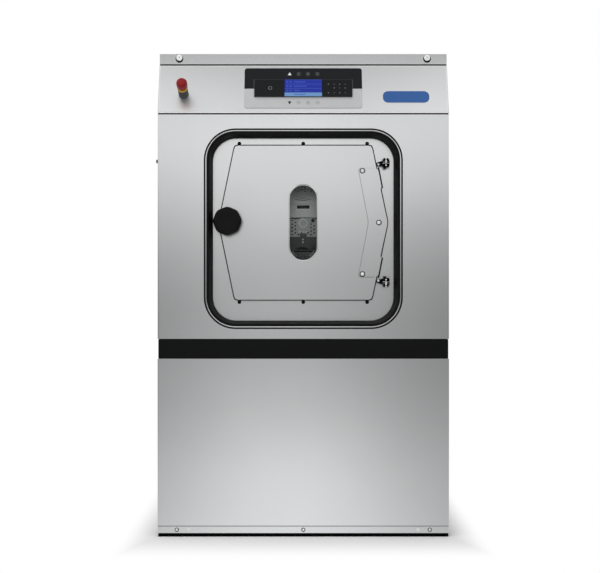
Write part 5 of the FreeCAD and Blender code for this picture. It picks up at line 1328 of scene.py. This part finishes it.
bm = bmesh.new()
for x in inlet["sidesMm"]:
    spot = Vector((x, inlet["wallMm"], inlet["levelMm"])) * mm
    plate = roundedLoop(inlet["bodyMm"], inlet["bodyMm"], 10, 6)
    raisedOutline(bm, plate, plane(spot, toRight, toTop, toBack), -7, -0.1)
    lathe(bm, [(0, -60), (17, -60), (20, -57), (20, -34), (25, -32, 6), (25, -20, 6), (22, -18), (22, -6)],
          spot, toBack, 48, 0)
    onValve = plane(spot + toBack * inlet["coilMm"] * mm, toRight, toBack, toTop)
    raisedOutline(bm, roundedLoop(40, 28, 5, 5), onValve, 12.0, 30.0, 2, 2.0)
    rows = [(thread + 1.8, -6), (thread + 1.8, 6.2), (21, 6.2, 6), (21, 13, 6), (thread - 0.2, 13.4)]
    level = 14.5
    while level < end - 4:
        rows += [(thread - 1.3, level), (thread, level + inlet["pitchMm"] / 2)]
        level += inlet["pitchMm"]
    rows += [(thread - 1.3, end - 2.5), (thread - 1.6, end - 0.6), (thread - 2.2, end), (9.2, end),
             (9.0, end - 1), (9.0, end - 24), (0, end - 24)]
    lathe(bm, rows, spot, toBack, 48, 1)
finishPiece("inlet_valves_turned", bm, [palePlastic, zincPlate, greyPlastic], "cabinet", ["inlet_valves"])
dressed("control_box", boxPaint, 3.0)
box = {"faceMm": -400.0, "doorMm": (216.0, 352.0), "levelMm": 1090.0, "riseMm": 2.5, "louvres": 7,
       "louvreMm": (120.0, 5.0, 2.4), "louvreLowMm": -150.0, "louvrePitchMm": 13.0,
       "locksMm": ((-92.0, -110.0), (-92.0, 110.0))}
bm = bmesh.new()
boxSpot = Vector((box["faceMm"], 0, box["levelMm"])) * mm
onBox = plane(boxSpot, toBack, toTop, toRight)
boxFace = box["riseMm"]
raisedOutline(bm, roundedLoop(*box["doorMm"], 6, 5), onBox, -0.5, boxFace, 0, 1.0)
for k in range(box["louvres"]):
    rise = box["louvreLowMm"] + box["louvrePitchMm"] * k
    slot = [(y, z + rise) for y, z in roundedLoop(*box["louvreMm"], 4)]
    raisedOutline(bm, slot, onBox, boxFace - 0.2, boxFace + 1.4, 1, 0.6)
for y, z in box["locksMm"]:
    lathe(bm, [(11, boxFace - 0.2), (11, boxFace + 2), (9, boxFace + 3), (4, boxFace + 3, 3),
               (4, boxFace + 1, 3), (0, boxFace + 1)], boxSpot + Vector((0, y, z)) * mm, toRight,
          30, 2)
finishPiece("control_box_door", bm, [boxPaint, greyPlastic, zincPlate], "cabinet")
print("services done")

# studio: a pale floor that fades to white, a white surround, grey cards seen in mirrors only, and soft lamps
stage = {"floorHalf": 30.0, "floorPale": "#F4F4F4", "floorDark": "#EEEEEE", "fadeMm": (-20.0, 360.0),
         "footprintMm": (490.0, 430.0), "sideRush": (3.0, 1.0), "surroundLight": 0.5, "cardRadius": 3.0,
         "cardTop": 3.0, "wallTones": ((0.0, 0.72), (0.25, 0.6), (0.5, 0.46), (0.82, 0.465), (1.05, 0.57),
                                       (1.3, 0.81), (1.5, 1.0), (1.93, 1.0), (2.08, 0.33), (2.45, 0.28),
                                       (2.75, 0.9), (3.0, 0.9)),
         "ceilingTones": ((0.0, 0.4), (1.3, 0.12), (1.6, 0.4), (1.85, 1.0), (2.4, 1.0), (3.0, 0.94)),
         "groundTones": ((0.0, 0.88), (0.9, 0.88), (1.8, 0.92), (2.7, 0.91), (3.0, 0.85)),
         "groundRise": 0.0015, "groundGapMm": 3.0, "wallEdge": (6.0, 0.43, 0.9),
         "groundSide": (-0.06, 0.0, 0.8, 0.52), "edgeLevels": (0.75, 1.75), "edgeTurnDeg": 2.4}


def placeStage(name, bm, materials):
    mesh = bpy.data.meshes.new(name)
    bm.to_mesh(mesh)
    bm.free()
    for item in materials:
        mesh.materials.append(item)
    shown = bpy.data.objects.new(name, mesh)
    scene.collection.objects.link(shown)
    return shown


# one for rays from the camera, a reflection or glass, and nought for rays that light dull surfaces
def seenDirectly(tree):
    path = addNode(tree, "ShaderNodeLightPath").outputs
    seen = addNode(tree, "ShaderNodeMath", {0: path["Is Camera Ray"], 1: path["Is Glossy Ray"]},
                   operation="MAXIMUM")
    seen = addNode(tree, "ShaderNodeMath", {0: seen.outputs[0], 1: path["Is Transmission Ray"]},
                   operation="MAXIMUM")
    return seen.outputs[0]


matt = {"Roughness": 0.7, "Specular IOR Level": 0.2}
floorPaint, tree, shader, where, *_ = driftingTone("studio_floor_vinyl_pale", matt, stage["floorPale"],
                                                   stage["floorDark"], 400.0, 2.0)
part = addNode(tree, "ShaderNodeSeparateXYZ", {0: where})
gaps = []
for side, reach, rush in zip("XY", stage["footprintMm"], stage["sideRush"]):
    out = addNode(tree, "ShaderNodeMath", {0: part.outputs[side]}, operation="ABSOLUTE")
    out = addNode(tree, "ShaderNodeMath", {0: out.outputs[0], 1: rush, 2: -reach * rush * mm},
                  operation="MULTIPLY_ADD")
    gaps.append(out)
away = addNode(tree, "ShaderNodeMath", {0: gaps[0].outputs[0], 1: gaps[1].outputs[0]}, operation="MAXIMUM")
near, far = stage["fadeMm"]
fade = addNode(tree, "ShaderNodeMapRange",
               {"Value": away.outputs[0], "From Min": near * mm, "From Max": far * mm},
               interpolation_type="SMOOTHSTEP")
share = addNode(tree, "ShaderNodeMath", {0: seenDirectly(tree), 1: fade.outputs[0]}, operation="MULTIPLY")
white = addNode(tree, "ShaderNodeEmission", {"Color": (1.0, 1.0, 1.0, 1.0), "Strength": 1.0})
mixed = addNode(tree, "ShaderNodeMixShader", {0: share.outputs[0], 1: shader.outputs[0], 2: white.outputs[0]})
addNode(tree, tree.nodes["Material Output"], {"Surface": mixed.outputs[0]})
bm = bmesh.new()
half = stage["floorHalf"]
bm.faces.new([bm.verts.new((x * half, y * half, 0)) for x, y in ((-1, -1), (1, -1), (1, 1), (-1, 1))])
placeStage("studio_floor", bm, [floorPaint])

world = bpy.data.worlds.new("studio_surround")
scene.world = world
world.use_nodes = True
tree = world.node_tree
level = addNode(tree, "ShaderNodeMapRange",
                {"Value": seenDirectly(tree), "To Min": stage["surroundLight"], "To Max": 1.0})
addNode(tree, tree.nodes["Background"], {"Color": (1.0, 1.0, 1.0, 1.0), "Strength": level.outputs[0]})

cards = []
for name, tones, reach in (("studio_card_wall", stage["wallTones"], stage["cardTop"]),
                           ("studio_card_ceiling", stage["ceilingTones"], stage["cardRadius"]),
                           ("studio_card_ground", stage["groundTones"], stage["cardRadius"])):
    card, tree, shader, where = newMaterial(name, {"Roughness": 1.0})
    part = addNode(tree, "ShaderNodeSeparateXYZ", {0: where})
    flat = addNode(tree, "ShaderNodeCombineXYZ", {"X": part.outputs["X"], "Y": part.outputs["Y"]})
    out = addNode(tree, "ShaderNodeVectorMath", {0: flat.outputs[0]}, operation="LENGTH")
    along = part.outputs["Z"] if name == "studio_card_wall" else out.outputs["Value"]
    along = addNode(tree, "ShaderNodeMath", {0: along, 1: reach}, operation="DIVIDE")
    ramp = addNode(tree, "ShaderNodeValToRGB", {0: along.outputs[0]})
    ramp.color_ramp.interpolation = "EASE"
    for k, (place, grey) in enumerate(tones):
        stop = ramp.color_ramp.elements[k] if k < 2 else ramp.color_ramp.elements.new(place / reach)
        stop.position = place / reach
        stop.color = (grey, grey, grey, 1.0)
    glow = addNode(tree, "ShaderNodeEmission", {"Color": ramp.outputs[0]})
    if name == "studio_card_ground":  # dims sideways from the middle of each side of the machine
        shift, near, far, least = stage["groundSide"]
        along = addNode(tree, "ShaderNodeMath", {0: part.outputs["Y"]}, operation="ABSOLUTE").outputs[0]
        across = part.outputs["X"]
        for step, other in (("SUBTRACT", {1: shift}), ("ABSOLUTE", {}), ("MINIMUM", {1: along})):
            across = addNode(tree, "ShaderNodeMath", {0: across, **other}, operation=step).outputs[0]
        lit = addNode(tree, "ShaderNodeMapRange",
                      {"Value": across, "From Min": near, "From Max": far, "To Min": 1.0,
                       "To Max": least}, interpolation_type="SMOOTHSTEP")
        addNode(tree, glow, {"Strength": lit.outputs[0]})
    if name == "studio_card_wall":  # brightest square on to each side of the machine
        fall, lowShare, highShare = stage["wallEdge"]
        offset = 4 * radians(stage["edgeTurnDeg"])
        turn = part.outputs["Y"]
        for step, other in (("ARCTAN2", {1: part.outputs["X"]}), ("MULTIPLY_ADD", {1: 4.0, 2: offset}),
                            ("COSINE", {}), ("MULTIPLY_ADD", {1: 0.5, 2: 0.5}), ("POWER", {1: fall})):
            turn = addNode(tree, "ShaderNodeMath", {0: turn, **other}, operation=step).outputs[0]
        low, high = stage["edgeLevels"]
        dim = addNode(tree, "ShaderNodeMapRange",
                      {"Value": part.outputs["Z"], "From Min": low, "From Max": high, "To Min": lowShare,
                       "To Max": highShare})
        lit = addNode(tree, "ShaderNodeMapRange",
                      {"Value": turn, "To Min": dim.outputs[0], "To Max": 1.0})
        addNode(tree, glow, {"Strength": lit.outputs[0]})
    addNode(tree, tree.nodes["Material Output"], {"Surface": glow.outputs[0]})
    cards.append(card)
bm = bmesh.new()
rim, top = stage["cardRadius"] / mm, stage["cardTop"] / mm
lathe(bm, [(rim, 0), (rim, top)], origin, toTop, 64)
lathe(bm, [(rim, top), (0, top)], origin, toTop, 64, 1)
dropCaps(bm)
halfX, halfY = (reach + stage["groundGapMm"] for reach in stage["footprintMm"])
loops = [[], []]
for k in range(128):
    c, s = cos(pi * k / 64), sin(pi * k / 64)
    cut = min(halfX / max(abs(c), 1e-6), halfY / max(abs(s), 1e-6))
    for loop, reach in zip(loops, (cut, rim)):
        loop.append(bm.verts.new(Vector((c * reach, s * reach, stage["groundRise"] / mm)) * mm))
bridge(bm, *loops, 2)
cardRing = placeStage("studio_cards", bm, cards)
cardRing.visible_camera = False
cardRing.visible_diffuse = False
cardRing.visible_shadow = False


def softLamp(name, spot, aim, size, power):
    lamp = bpy.data.lights.new(name, "AREA")
    lamp.shape = "RECTANGLE"
    lamp.size, lamp.size_y = size
    lamp.energy = power
    lit = bpy.data.objects.new(name, lamp)
    scene.collection.objects.link(lit)
    lit.location = spot
    lit.rotation_euler = (Vector(aim) - Vector(spot)).to_track_quat("-Z", "Y").to_euler()
    lit.visible_glossy = False


lamps = {"lamp_overhead": {"spot": (-0.6, -1.2, 4.2), "aim": (0, 0, 0.6), "size": (4.0, 3.0), "power": 60.0},
         "lamp_front": {"spot": (-2.2, -5.0, 2.6), "aim": (0, 0, 0.9), "size": (2.4, 2.4), "power": 45.0}}
for name, lamp in lamps.items():
    softLamp(name, **lamp)

# camera level with the middle of the machine, square on to its front
view = {"x": -0.0111, "y": -4.72, "z": 0.8408, "lensMm": 76.6, "sensorMm": 36.0}
lens = bpy.data.cameras.new("camera")
lens.sensor_width = view["sensorMm"]
lens.lens = view["lensMm"]
camera = bpy.data.objects.new("camera", lens)
scene.collection.objects.link(camera)
camera.location = (view["x"], view["y"], view["z"])
camera.rotation_euler = (radians(90), 0, 0)
scene.camera = camera
print("studio done")
